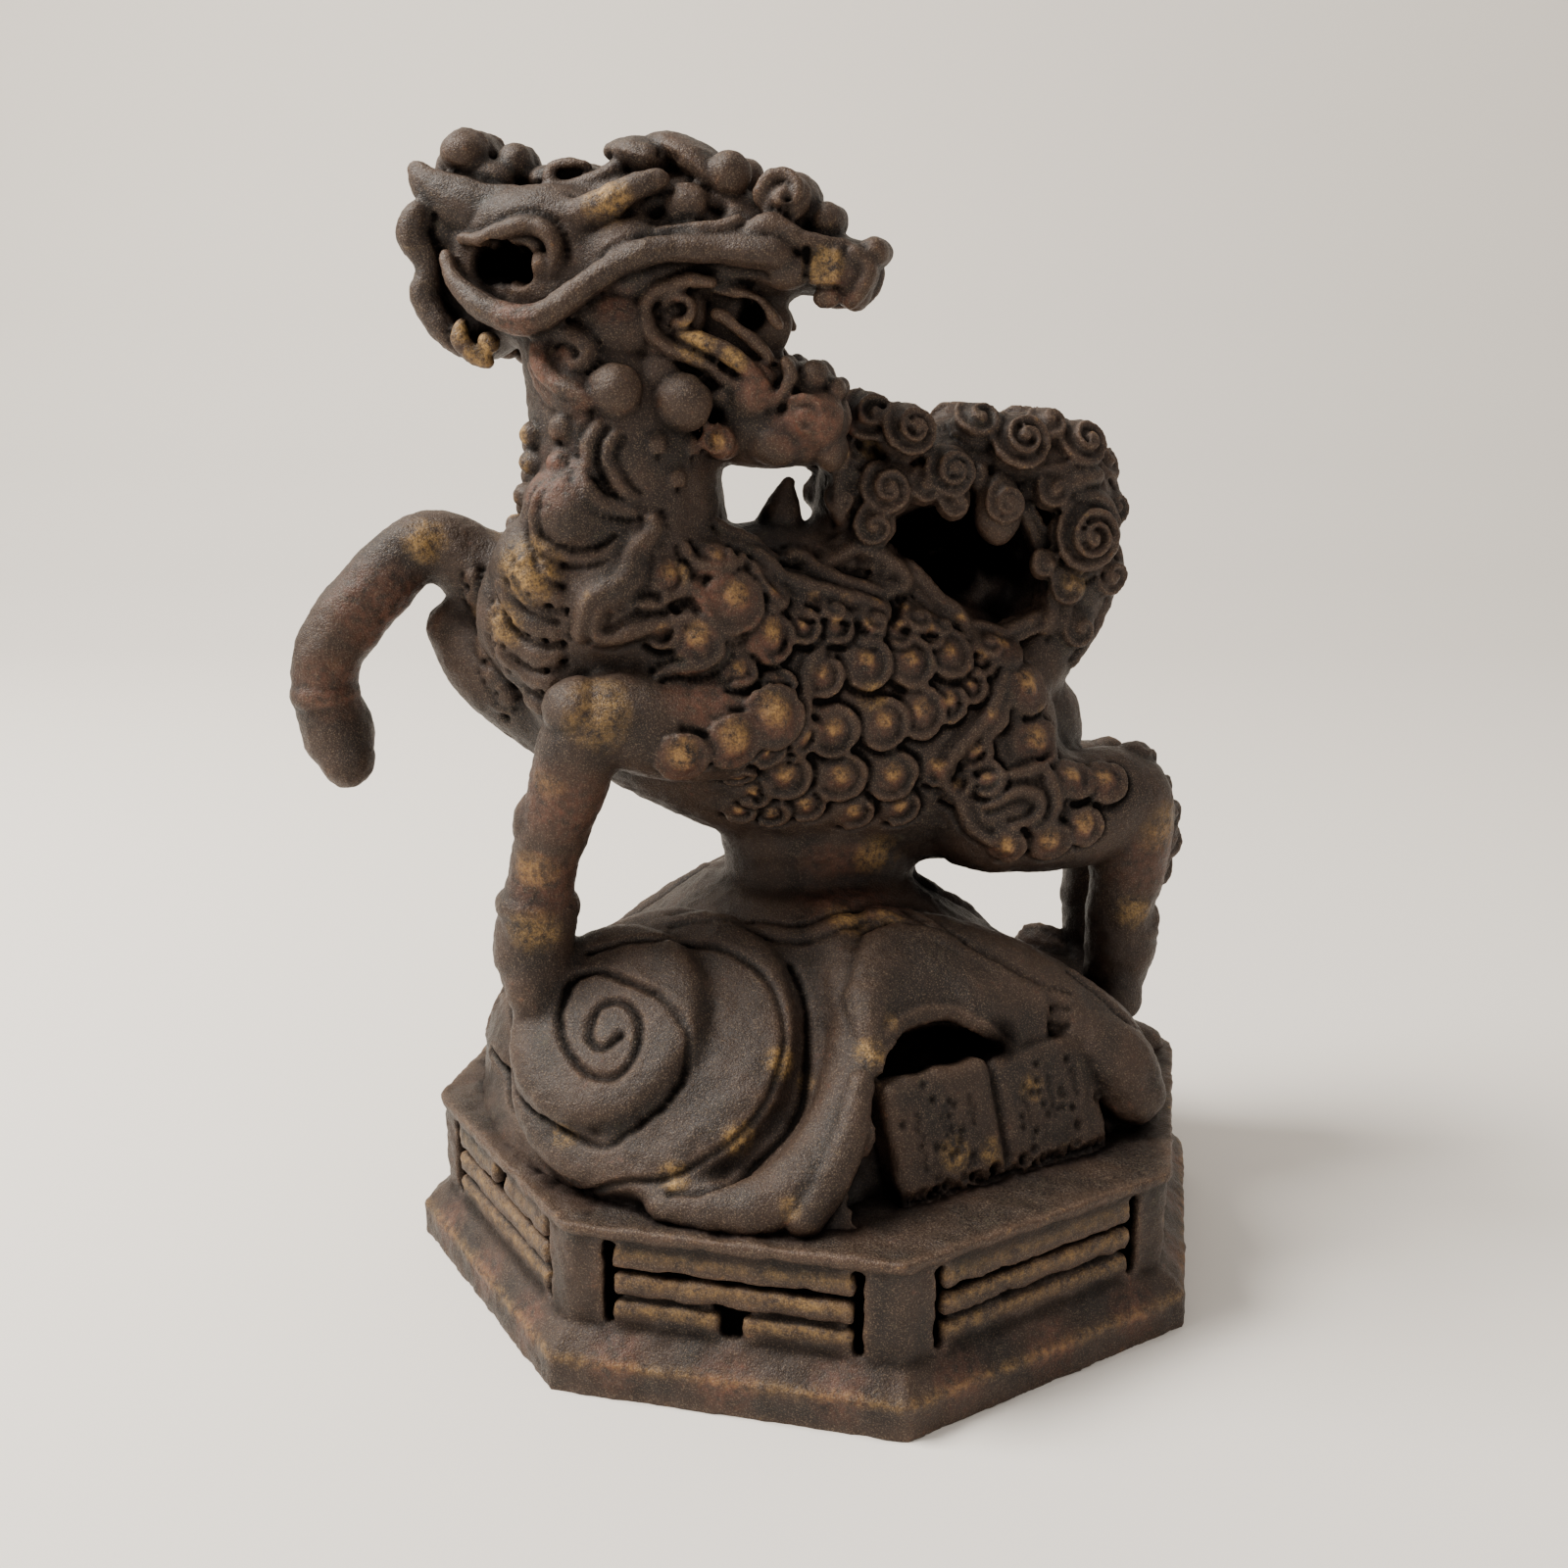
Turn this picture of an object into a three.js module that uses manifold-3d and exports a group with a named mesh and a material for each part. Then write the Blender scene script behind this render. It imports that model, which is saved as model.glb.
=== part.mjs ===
// A small cast figure: a rearing qilin looks back over its shoulder, above curling clouds,
// on an eight-sided base whose faces carry the eight trigrams. It is one casting, so one solid.
// Millimetres, +Z up. The underside lies on z = 0, and the base's front face looks along -Y.
import * as THREE from "three";
import { mergeVertices } from "three/addons/utils/BufferGeometryUtils.js";
import Module from "manifold-3d";

const wasm = await Module();
wasm.setup();

// Sizes of the base
const FACES = 8;
const ACROSS_FLATS = 92.4; // of the foot plate
const PLATE_HEIGHT = 3.9;
const PLATE_ROUND = 0.8; // corner rounding, as the drum's below
const SHELF_HEIGHT = 2.4; // the slope from the plate up to the drum's foot
const DRUM_INSET = 2.8; // from the plate's flat to the drum's
const DRUM_HEIGHT = 12.2;
const DRUM_ROUND = 2.6;
const PANEL_WIDTH = 28;
const PANEL_HEIGHT = 9.6;
const PANEL_RISE = 0.7; // from the drum's foot to the panel
const PANEL_DEPTH = 1.7;
const BAR_WIDTH = 25.4;
const BAR_HEIGHT = 1.9;
const BAR_PROUD = 1.4; // over the panel's floor
const BAR_GAP = 2.6; // in a broken bar
const RIM_HEIGHT = 1.2;
const RIM_PROUD = 0.5;

// Sizes of the figure on it, which keeps its own proportions
const FIGURE_HEIGHT = 111.8; // from the base's top to the crest
const DRAWN_HEIGHT = 111.8; // the height that the landmarks below are drawn at
const DRAWN_BASE = 18.5; // the height of the base's top that they are drawn over
const ROOT_DEPTH = 1.5; // how far the clouds reach into the base
const TABLET_WIDTH = 14.2;
const TABLET_HEIGHT = 14.5;
const TABLET_THICK = 4.6;
const TABLET_GAP = 0.9; // the groove between the two
const TABLET_CORNER = 1.4;
const STROKE_WIDTH = 0.8;
const STROKE_DEPTH = 0.35;
const SURFACE_SLACK = 0.09; // how far thinning the joined mesh may move its surface
const SLIVER_AREA = 2e-3; // twice the area of a facet too thin to have a sure direction
const MOST_TURN = 0.6; // cosine of how far thinning may turn a facet

const COLOUR = "#4a4037";

const apothem = ACROSS_FLATS / 2;
const drumApothem = apothem - DRUM_INSET;
const drumFoot = PLATE_HEIGHT + SHELF_HEIGHT;
const baseTop = drumFoot + DRUM_HEIGHT;

const up = new THREE.Vector3(0, 0, 1);
const right = new THREE.Vector3(1, 0, 0);
const back = new THREE.Vector3(0, 1, 0);
const point = (x, y, z) => new THREE.Vector3(x, y, z);

// The animal stands askew on the base: "along" runs from its chest to its tail, "flank" out of its left side.
const ASKEW = THREE.MathUtils.degToRad(30);
const along = point(Math.cos(ASKEW), Math.sin(ASKEW), 0);
const flank = point(Math.sin(ASKEW), -Math.cos(ASKEW), 0);
const body = (u, n, z) => point(0, 0, z).addScaledVector(along, u).addScaledVector(flank, n);

// Figure landmarks become places over the base's top
const figureScale = FIGURE_HEIGHT / DRAWN_HEIGHT;
const figurePlace = new THREE.Matrix4()
  .makeTranslation(0, 0, baseTop)
  .multiply(new THREE.Matrix4().makeScale(figureScale, figureScale, figureScale))
  .multiply(new THREE.Matrix4().makeTranslation(0, 0, -DRAWN_BASE));

// A closed geometry as a solid that can be joined and cut
function solid(geometry) {
  geometry.deleteAttribute("normal");
  geometry.deleteAttribute("uv");
  const merged = mergeVertices(geometry, 1e-3);
  const corners = merged.index.array;
  const kept = [];
  for (let i = 0; i < corners.length; i += 3) {
    const [a, b, c] = corners.slice(i, i + 3);
    if (a !== b && b !== c && c !== a) kept.push(a, b, c);
  }
  return new wasm.Manifold(
    new wasm.Mesh({
      numProp: 3,
      vertProperties: merged.attributes.position.array,
      triVerts: new Uint32Array(kept),
    }),
  );
}

const figureSolid = (geometry) => solid(geometry.applyMatrix4(figurePlace));
const join = (solids) => solids.reduce((whole, next) => whole.add(next));

// How finely a ball is faceted: sides round it and rings from pole to pole
const LARGE = [12, 8];
const MIDDLE = [8, 5];
const SMALL = [6, 4];
const TINY = [5, 3];

// A ball with three radii, turned so that its x and z axes follow two given directions
function blob(centre, radii, fine = MIDDLE, xAxis = right, zAxis = up) {
  const y = new THREE.Vector3().crossVectors(zAxis, xAxis).normalize();
  const x = new THREE.Vector3().crossVectors(y, zAxis).normalize();
  const turn = new THREE.Matrix4().makeBasis(x, y, zAxis.clone().normalize());
  const ball = new THREE.SphereGeometry(1, ...fine);
  ball.rotateX(Math.PI / 2);
  ball.scale(...radii);
  ball.applyMatrix4(turn.setPosition(centre));
  return figureSolid(ball);
}

// A round-ended limb: a sphere's rings spread along a smooth line through the given points.
// flat is how wide it is towards "side" as a share of its radius.
function limb(points, radii, { side = flank, flat = 1, sides = 8, rings = 8 } = {}) {
  const line = new THREE.CatmullRomCurve3(points);
  const sizes = new THREE.CatmullRomCurve3(radii.map((r) => point(r, 0, 0)));
  const shape = new THREE.SphereGeometry(1, sides, rings);
  const place = shape.attributes.position;
  const cap = 2 / rings;
  for (let i = 0; i < place.count; i++) {
    const from = point(0, 0, 0).fromBufferAttribute(place, i);
    const share = Math.acos(THREE.MathUtils.clamp(from.y, -1, 1)) / Math.PI;
    const ringRadius = Math.max(Math.sin(share * Math.PI), 1e-9);
    const t = THREE.MathUtils.clamp((share - cap) / (1 - 2 * cap), 0, 1);
    const capAngle = (Math.min(share, 1 - share, cap) / cap) * (Math.PI / 2);
    const radius = sizes.getPoint(t).x;
    const ahead = line.getTangent(t);
    const across = side.clone().addScaledVector(ahead, -side.dot(ahead)).normalize();
    const third = new THREE.Vector3().crossVectors(ahead, across);
    const reach = share < 0.5 ? -1 : 1;
    const spread = (radius * Math.sin(capAngle)) / ringRadius;
    const at = line
      .getPoint(t)
      .addScaledVector(ahead, reach * radius * Math.cos(capAngle))
      .addScaledVector(across, from.x * spread * flat)
      .addScaledVector(third, from.z * spread);
    place.setXYZ(i, at.x, at.y, at.z);
  }
  return figureSolid(shape);
}

const SCROLL_STEPS = 6; // along one turn

// A scroll: a tapering limb wound about a centre, in the plane whose normal is "out"
function scroll(centre, out, start, size, turns, thick, options = {}) {
  const across = new THREE.Vector3().crossVectors(up, out).normalize();
  const rise = new THREE.Vector3().crossVectors(out, across).normalize();
  const steps = Math.round(Math.abs(turns) * SCROLL_STEPS);
  const points = [];
  const radii = [];
  for (let i = 0; i <= steps; i++) {
    const share = i / steps;
    const angle = THREE.MathUtils.degToRad(start) + share * turns * 2 * Math.PI;
    const reach = size * (1 - 0.78 * share);
    points.push(
      centre
        .clone()
        .addScaledVector(across, reach * Math.cos(angle))
        .addScaledVector(rise, reach * Math.sin(angle)),
    );
    radii.push(thick * (1 - 0.35 * share));
  }
  return limb(points, radii, { side: out, sides: 5, rings: steps + 4, ...options });
}

// A flat slab from an outline, its outer face at "centre", facing "out"
function slab(outline, thick, centre, out, level = up, curveSegments = 8) {
  const form = new THREE.ExtrudeGeometry(outline, {
    depth: thick,
    bevelEnabled: false,
    curveSegments,
  });
  form.translate(0, 0, -thick);
  const across = new THREE.Vector3().crossVectors(level, out).normalize();
  const rise = new THREE.Vector3().crossVectors(out, across).normalize();
  form.applyMatrix4(
    new THREE.Matrix4().makeBasis(across, rise, out.clone().normalize()).setPosition(centre),
  );
  return form;
}

const ellipse = (rx, ry) => new THREE.Shape().absellipse(0, 0, rx, ry, 0, 2 * Math.PI);

// A regular outline with its flats square to the axes and its corners rounded
function roundedOctagon(flatDistance, round) {
  const outline = new THREE.Shape();
  const step = (2 * Math.PI) / FACES;
  const cornerReach = flatDistance / Math.cos(step / 2);
  const cut = round * Math.tan(step / 2);
  for (let i = 0; i < FACES; i++) {
    const angle = (i + 0.5) * step;
    const corner = new THREE.Vector2(Math.cos(angle), Math.sin(angle)).multiplyScalar(cornerReach);
    const edge = new THREE.Vector2(-Math.sin(angle - step / 2), Math.cos(angle - step / 2));
    const next = new THREE.Vector2(-Math.sin(angle + step / 2), Math.cos(angle + step / 2));
    const first = corner.clone().addScaledVector(edge, -cut);
    const last = corner.clone().addScaledVector(next, cut);
    if (i === 0) outline.moveTo(first.x, first.y);
    else outline.lineTo(first.x, first.y);
    outline.quadraticCurveTo(corner.x, corner.y, last.x, last.y);
  }
  outline.closePath();
  return outline;
}

function prism(flatDistance, round, bottom, height) {
  const form = new THREE.ExtrudeGeometry(roundedOctagon(flatDistance, round), {
    depth: height,
    bevelEnabled: false,
    curveSegments: round > 1 ? 2 : 1,
  });
  return form.translate(0, 0, bottom);
}

// The sloping shelf between plate and drum: a prism whose top is drawn in
function shelf() {
  const form = prism(apothem, PLATE_ROUND, PLATE_HEIGHT, SHELF_HEIGHT);
  const place = form.attributes.position;
  const share = (drumApothem + RIM_PROUD) / apothem;
  for (let i = 0; i < place.count; i++)
    if (place.getZ(i) > PLATE_HEIGHT + SHELF_HEIGHT / 2)
      place.setXY(i, place.getX(i) * share, place.getY(i) * share);
  return form;
}

function box(width, depth, height, x, y, z) {
  return new THREE.BoxGeometry(width, depth, height).translate(x, y, z);
}

// Trigrams, from the lowest bar up: true is a whole bar, false a broken one. They run round from
// the front face towards the right.
const TRIGRAMS = [
  [false, true, true],
  [true, true, true],
  [true, false, true],
  [true, false, false],
  [false, false, false],
  [false, false, true],
  [false, true, false],
  [true, true, false],
];

// The panel that is sunk in one face, and the bars that stand in it, both for the front face
function panel() {
  const reach = PANEL_DEPTH * 2;
  const middle = drumFoot + PANEL_RISE + PANEL_HEIGHT / 2;
  return box(PANEL_WIDTH, reach, PANEL_HEIGHT, 0, -drumApothem, middle);
}

function bars(trigram) {
  const pitch = PANEL_HEIGHT / trigram.length;
  const floor = drumApothem - PANEL_DEPTH;
  const half = (BAR_WIDTH - BAR_GAP) / 2;
  return trigram.flatMap((whole, level) => {
    const height = drumFoot + PANEL_RISE + (level + 0.5) * pitch;
    const bar = (width, x) => box(width, BAR_PROUD * 2, BAR_HEIGHT, x, -floor, height);
    return whole ? [bar(BAR_WIDTH, 0)] : [-1, 1].map((s) => bar(half, (s * (half + BAR_GAP)) / 2));
  });
}

function base() {
  const plate = solid(prism(apothem, PLATE_ROUND, 0, PLATE_HEIGHT));
  const drum = solid(prism(drumApothem, DRUM_ROUND, drumFoot, DRUM_HEIGHT));
  const rim = solid(prism(drumApothem + RIM_PROUD, DRUM_ROUND, baseTop - RIM_HEIGHT, RIM_HEIGHT));
  let whole = join([plate, solid(shelf()), drum]);
  TRIGRAMS.forEach((trigram, i) => {
    const turn = (i * 2 * Math.PI) / FACES;
    whole = whole.subtract(solid(panel().rotateZ(turn)));
    for (const bar of bars(trigram)) whole = whole.add(solid(bar.rotateZ(turn)));
  });
  return whole.add(rim);
}

// The clouds heap up to the belly. The heap is turned about an upright axis.
function heap() {
  const profile = [
    [0, -ROOT_DEPTH],
    [41, -ROOT_DEPTH],
    [39, 2.5],
    [31, 10],
    [22, 19],
    [12, 26],
    [0, 27.5],
  ].map(([r, z]) => new THREE.Vector2(r, DRAWN_BASE + z));
  const form = new THREE.LatheGeometry(profile, 18);
  return figureSolid(form.rotateX(Math.PI / 2).translate(-2, 0, 0));
}

// The great scroll under the near forefoot: three stepped discs and a spiral core, lying back
function greatScroll() {
  const out = point(-0.1, -0.67, 0.74).normalize();
  const centre = point(-14, -28, 33);
  const step = (rx, ry, dx, dz, lift, thick) => {
    const at = centre.clone().add(point(dx, 0, dz)).addScaledVector(out, lift);
    return figureSolid(slab(ellipse(rx, ry), thick, at, out, up, 8));
  };
  return [
    step(20.5, 20, 3.5, -2.5, -3.4, 12),
    step(16.8, 17.4, 0.5, 0, 0, 8),
    step(11.5, 12.5, -4, 1, 1.6, 5),
    scroll(centre.clone().add(point(-4, -1.2, 2)), out, 200, 7, -1.3, 1.9, { flat: 0.8 }),
  ];
}

// The wave that falls to the right of the great scroll, down to the base's front edge
function wave() {
  return limb(
    [point(3, -12, 42), point(10, -23, 35), point(9.5, -32, 27), point(3, -39, 21), point(-8, -40, 20)],
    [3.4, 4, 4, 3.4, 2.2],
    { side: point(0, -0.6, 0.8), flat: 0.8, sides: 6, rings: 9 },
  );
}

// The cloud behind the tablets: a vaulted lobe with a hollow, and a tongue that runs back
function rightClouds() {
  const vault = blob(point(18.5, -9, 22), [16.5, 14, 14.5], LARGE, along);
  const tongue = limb(
    [point(9, -9, 41), point(22, -6, 36), point(34, -4, 28), point(38.6, -3, 21)],
    [3, 4.5, 5, 4],
    { side: point(0, -1, 0.3), flat: 1.5 },
  );
  const hollow = blob(point(19, -23, 25), [8.5, 9, 8], [10, 6]);
  const arch = limb(
    [point(9, -27, 24), point(11, -23, 30), point(18.5, -19, 34), point(26, -17.5, 33), point(31, -14, 29)],
    [1.6, 1.8, 1.9, 1.8, 1.6],
    { side: back, sides: 5, rings: 8 },
  );
  return { add: [vault, tongue], cut: [hollow], after: [arch] };
}

// Plainer clouds on the hidden side, in keeping with the seen ones
function backClouds() {
  const out = point(-0.35, 0.75, 0.55).normalize();
  const centre = point(-14, 27, 28);
  const step = (r, lift) =>
    figureSolid(slab(ellipse(r, r * 0.9), 8, centre.clone().addScaledVector(out, lift), out, up, 6));
  const ridge = limb(
    [point(8, 5, 41), point(20, 10, 31), point(32, 14, 21.5), point(40, 17, 17.5)],
    [3, 4, 4, 3.4],
    { side: back, rings: 7 },
  );
  return [
    step(14, 0),
    step(8.5, 1.8),
    ridge,
    blob(point(25, 25, 19.5), [11, 9, 8]),
    blob(point(-30, -7, 21), [11, 14, 13]),
  ];
}

// Two thin books, side by side against the clouds, with worn strokes in rows that aren't letters
const tabletOut = point(0.62, -0.66, 0.34).normalize();
const tabletFoot = point(27.2, -24.1, DRAWN_BASE - 0.6);
const tabletAcross = new THREE.Vector3().crossVectors(up, tabletOut).normalize();
const tabletRise = new THREE.Vector3().crossVectors(tabletOut, tabletAcross).normalize();

function tabletBoard(halfWidth, height, corner, thick, centre) {
  const outline = new THREE.Shape();
  outline.moveTo(-halfWidth, 0);
  outline.lineTo(halfWidth, 0);
  outline.lineTo(halfWidth, height - corner);
  outline.lineTo(halfWidth - corner, height);
  outline.lineTo(-halfWidth, height);
  outline.closePath();
  return figureSolid(slab(outline, thick, centre, tabletOut));
}

function tablets() {
  const parts = [];
  const strokes = [];
  for (const hand of [-1, 1]) {
    const shift = (hand * (TABLET_WIDTH + TABLET_GAP)) / 2;
    const centre = tabletFoot.clone().addScaledVector(tabletAcross, shift);
    parts.push(tabletBoard(TABLET_WIDTH / 2, TABLET_HEIGHT, TABLET_CORNER, TABLET_THICK, centre));
    for (let column = -1; column <= 1; column++) {
      const length = TABLET_HEIGHT * (0.42 - 0.08 * column);
      const stroke = new THREE.BoxGeometry(STROKE_WIDTH, length, 2 * STROKE_DEPTH);
      const at = centre
        .clone()
        .addScaledVector(tabletAcross, (column * TABLET_WIDTH) / 4)
        .addScaledVector(tabletRise, TABLET_HEIGHT * 0.55);
      stroke.applyMatrix4(
        new THREE.Matrix4().makeBasis(tabletAcross, tabletRise, tabletOut).setPosition(at),
      );
      strokes.push(figureSolid(stroke));
    }
  }
  const groove = tabletFoot.clone().addScaledVector(tabletOut, -STROKE_DEPTH * 2);
  parts.push(
    tabletBoard(TABLET_GAP, TABLET_HEIGHT - TABLET_CORNER, 0, TABLET_THICK - STROKE_DEPTH * 2, groove),
  );
  return join(parts).subtract(join(strokes));
}

// The clouds leave the tablets' faces bare
function bay() {
  const size = 3 * TABLET_WIDTH;
  const room = new THREE.BoxGeometry(size, size, size).translate(0, 0, size / 2);
  room.applyMatrix4(
    new THREE.Matrix4().makeBasis(tabletAcross, tabletRise, tabletOut).setPosition(tabletFoot),
  );
  return figureSolid(room);
}

// Trunk: one long form from chest to rump, with shoulder and haunch standing out on both flanks
const TRUNK_LINE = [
  body(-31.5, 0, 78),
  body(-22, 0, 73.5),
  body(-4, 0, 66.5),
  body(14, 0, 61.5),
  body(22, 0, 60),
  body(25.5, 0, 61),
];
const TRUNK_RADII = [9, 15, 17.6, 16.4, 14, 9];
const TRUNK_FLAT = 0.76;

function trunk() {
  const parts = [limb(TRUNK_LINE, TRUNK_RADII, { flat: TRUNK_FLAT, sides: 14, rings: 10 })];
  for (const hand of [-1, 1]) {
    parts.push(blob(body(-16, 7 * hand, 74), [10.5, 6.5, 14], [8, 6], along, point(-0.15, 0, 1)));
    parts.push(blob(body(18.5, 6 * hand, 59.5), [10, 7, 15], [8, 6], along));
  }
  const column = limb([body(0, 0, 37), body(0, 0, 45), body(1, 0, 53)], [14, 12, 14], {
    flat: 0.62,
    sides: 10,
    rings: 6,
  });
  return [...parts, column];
}

// Chest: a dome under the neck, a stack of curved plates and the mass of the far breast
function chest() {
  const plates = [];
  for (let i = 0; i < 3; i++) {
    const facing = point(-0.8, -0.5, -0.15 - 0.2 * i).normalize();
    plates.push(blob(body(-33.8 + i, 1.5, 82 - i * 5.6), [6.6 - i * 0.6, 4.2, 7 - i], MIDDLE, up, facing));
  }
  return [
    blob(body(-28.6, 5, 87.5), [5, 5.6, 6], MIDDLE, along),
    limb([body(-42, -9, 75.5), body(-38, -7, 71), body(-30, -4, 66)], [3.4, 5.2, 6.5], { rings: 6 }),
    ...plates,
  ];
}

// Neck, with a row of beads down its front
function neck() {
  const parts = [
    limb(
      [body(-24, 0, 80), body(-23, 0, 90), body(-23.5, 0.5, 98), point(-22.5, -11, 106)],
      [13, 11.4, 10.6, 9],
      { flat: 0.95, sides: 10 },
    ),
  ];
  for (let i = 0; i < 4; i++) {
    parts.push(blob(body(-33.6, -0.5, 101.5 - i * 4.3), [1.9, 2.6, 2.2], TINY, along));
  }
  return parts;
}

// Hooves are cloven: a wedge is cut up the front of each
function hoof(top, bottom, size, ahead) {
  const middle = top.clone().add(bottom).multiplyScalar(0.5);
  const down = bottom.clone().sub(top);
  const form = limb([top, middle, bottom], [size * 0.88, size, size], { flat: 0.95, sides: 7, rings: 6 });
  const cleft = new THREE.BoxGeometry(size, 0.9, down.length() + size * 1.6);
  const zAxis = down.clone().normalize();
  const yAxis = new THREE.Vector3().crossVectors(zAxis, ahead).normalize();
  const xAxis = new THREE.Vector3().crossVectors(yAxis, zAxis);
  cleft.applyMatrix4(
    new THREE.Matrix4()
      .makeBasis(xAxis, yAxis, zAxis)
      .setPosition(middle.clone().addScaledVector(xAxis, size)),
  );
  return form.subtract(figureSolid(cleft));
}

const forward = along.clone().negate();

function nearForeleg() {
  return [
    limb(
      [
        body(-10, 9, 67),
        body(-20, 11.5, 66.2),
        body(-29.6, 12, 67.6),
        body(-33, 10.8, 59),
        body(-35.3, 9, 51),
        body(-36, 8.5, 45),
      ],
      [6.5, 5.8, 4.9, 4.2, 3.9, 4.5],
      { sides: 7, rings: 10 },
    ),
    hoof(body(-36.4, 8, 43.5), body(-36.9, 8, 37), 5.3, forward),
  ];
}

function farForeleg() {
  return [
    limb(
      [
        body(-30, -6, 79),
        body(-38, -8, 82),
        body(-44.4, -9, 85.4),
        body(-51, -9, 80),
        body(-56.2, -9, 73.4),
        body(-57, -9, 67.5),
      ],
      [7.5, 5, 3.9, 4.1, 4.1, 3.9],
      { sides: 7, rings: 10 },
    ),
    hoof(body(-56.2, -9, 64.5), body(-55, -9, 60.5), 4.9, forward),
  ];
}

// A hind leg, with tufts that stand "proud" of the back of its hock
function hindLeg(hand, shift, drop, tufts, proud) {
  const at = (u, n, z) => body(u + shift, n * hand, z - drop);
  const parts = [
    limb(
      [
        at(20, 7, 54),
        at(29, 8.5, 52.5),
        at(36.5, 9, 53.5),
        at(37.6, 8.8, 45),
        at(37, 8.5, 38.5),
        at(37.6, 8.2, 34),
      ],
      [9, 6.8, 5.4, 4.4, 3.9, 4.2],
      { sides: 7, rings: 10 },
    ),
    hoof(at(37.4, 8, 32), at(36.8, 8, 27.5), 4.6, forward),
  ];
  for (let i = 0; i < tufts; i++) {
    const turn = i / (tufts - 1);
    const tuft = at(37.8 + proud * Math.sin(turn * 2.3), 8.5, 58.3 - turn * 14);
    parts.push(blob(tuft, [3, 3, 2.7], SMALL, along));
  }
  return parts;
}

// Tail: a stem that climbs from the rump and rolls over the back, closed within and hung with curls
function tail() {
  const parts = [
    limb(
      [
        body(25, 0, 68),
        body(30.5, 0, 77),
        body(32.8, 0, 86),
        body(28.5, 0, 93),
        body(19, 0, 93.6),
        body(10, 0, 92.5),
        body(4.5, 0, 89.5),
      ],
      [5.5, 5.4, 5.4, 5.4, 4.6, 5, 4.4],
      { flat: 1.35, sides: 7, rings: 11 },
    ),
    limb([body(3, 1, 94), body(3, 0, 87), body(7, 0, 79)], [3.4, 3.8, 5], { rings: 6, flat: 1.3 }),
    blob(body(16, -2.5, 84), [14, 3, 9], MIDDLE, along),
    scroll(body(28.2, 7, 86), flank, 60, 4.4, 1.4, 1.7),
    blob(body(4.1, 4, 99), [3, 3, 3]),
    blob(body(7.6, 7, 97), [3.3, 3.3, 3.3]),
    blob(body(12.8, 7, 92.5), [3, 2.4, 3.4]),
    limb(
      [body(18.5, 6.5, 92), body(18.6, 7.5, 88.5), body(19.2, 6.5, 84.5)],
      [1.9, 2.6, 1.3],
      { sides: 6, rings: 6 },
    ),
    blob(body(21.5, 6, 95.6), [4, 2.6, 3.6], MIDDLE, along),
    blob(body(28.6, 5, 95), [3.6, 3.4, 3]),
    blob(body(27, 6, 78), [2.8, 2.8, 3.4], SMALL),
  ];
  return parts;
}

// Flame tufts run along the spine from the dorsal spike to the tail
function spine() {
  const parts = [
    limb([body(-12, 0, 82.5), body(-3, 0, 82.5), body(8, 0, 79)], [5, 5, 4.4], { rings: 6 }),
    limb(
      [body(-5.2, 0, 84), body(-4.8, 0, 88.5), body(-4, 0, 91.6)],
      [3, 1.7, 0.6],
      { sides: 5, rings: 6 },
    ),
  ];
  const tuft = (u, hand) => {
    const z = 80 - u * 0.24;
    const points = [
      body(u, 5 * hand, z + 1),
      body(u + 3, 7.5 * hand, z - 0.5),
      body(u + 4.5, 9.4 * hand, z - 5),
    ];
    parts.push(limb(points, [2.3, 2, 0.8], { side: up, sides: 5, rings: 6 }));
  };
  for (const u of [2, 11, 20]) tuft(u, 1);
  return parts;
}

// One rounded scale, lapping backwards over the trunk. share runs along the trunk's line,
// angle from the spine (0) to the belly (180).
function scale(share, angle, hand, size) {
  const line = new THREE.CatmullRomCurve3(TRUNK_LINE);
  const sizes = new THREE.CatmullRomCurve3(TRUNK_RADII.map((r) => point(r, 0, 0)));
  const ahead = line.getTangent(share);
  const rise = new THREE.Vector3().crossVectors(ahead, flank).normalize();
  const radius = sizes.getPoint(share).x;
  const turn = THREE.MathUtils.degToRad(angle);
  const out = rise
    .clone()
    .multiplyScalar(Math.cos(turn) * TRUNK_FLAT)
    .addScaledVector(flank, hand * Math.sin(turn))
    .normalize();
  const at = line
    .getPoint(share)
    .addScaledVector(rise, radius * Math.cos(turn))
    .addScaledVector(flank, hand * radius * TRUNK_FLAT * Math.sin(turn));
  const lifted = out.clone().addScaledVector(ahead, -0.2).normalize();
  return blob(at.clone().addScaledVector(out, 0.3), [size, size, 1.5], SMALL, ahead, lifted);
}

function scales() {
  const parts = [];
  for (let row = 0; row < 3; row++)
    for (let i = 0; i < 4; i++) {
      parts.push(scale(0.42 + i * 0.085 + (row % 2) * 0.04, 62 + row * 19, 1, 2.9));
    }
  return parts;
}

// Scales and beads that stand on shoulder, forearm and haunch: place along, out, up and radius
const BOSSES = [
  [-14.6, 13, 80.5, 3.2],
  [-12.5, 12.6, 74.2, 2.9],
  [-19.4, 12.8, 76, 2.8],
  [-9, 11, 80, 2.6],
  [24.4, 12, 65.5, 2.9],
  [26.6, 10.8, 57.5, 2.9],
  [-21, 14.5, 65, 2.7],
  [-16.4, 14.2, 65.8, 2.9],
  [-10.8, 12.6, 67.6, 3.5],
];

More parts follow.
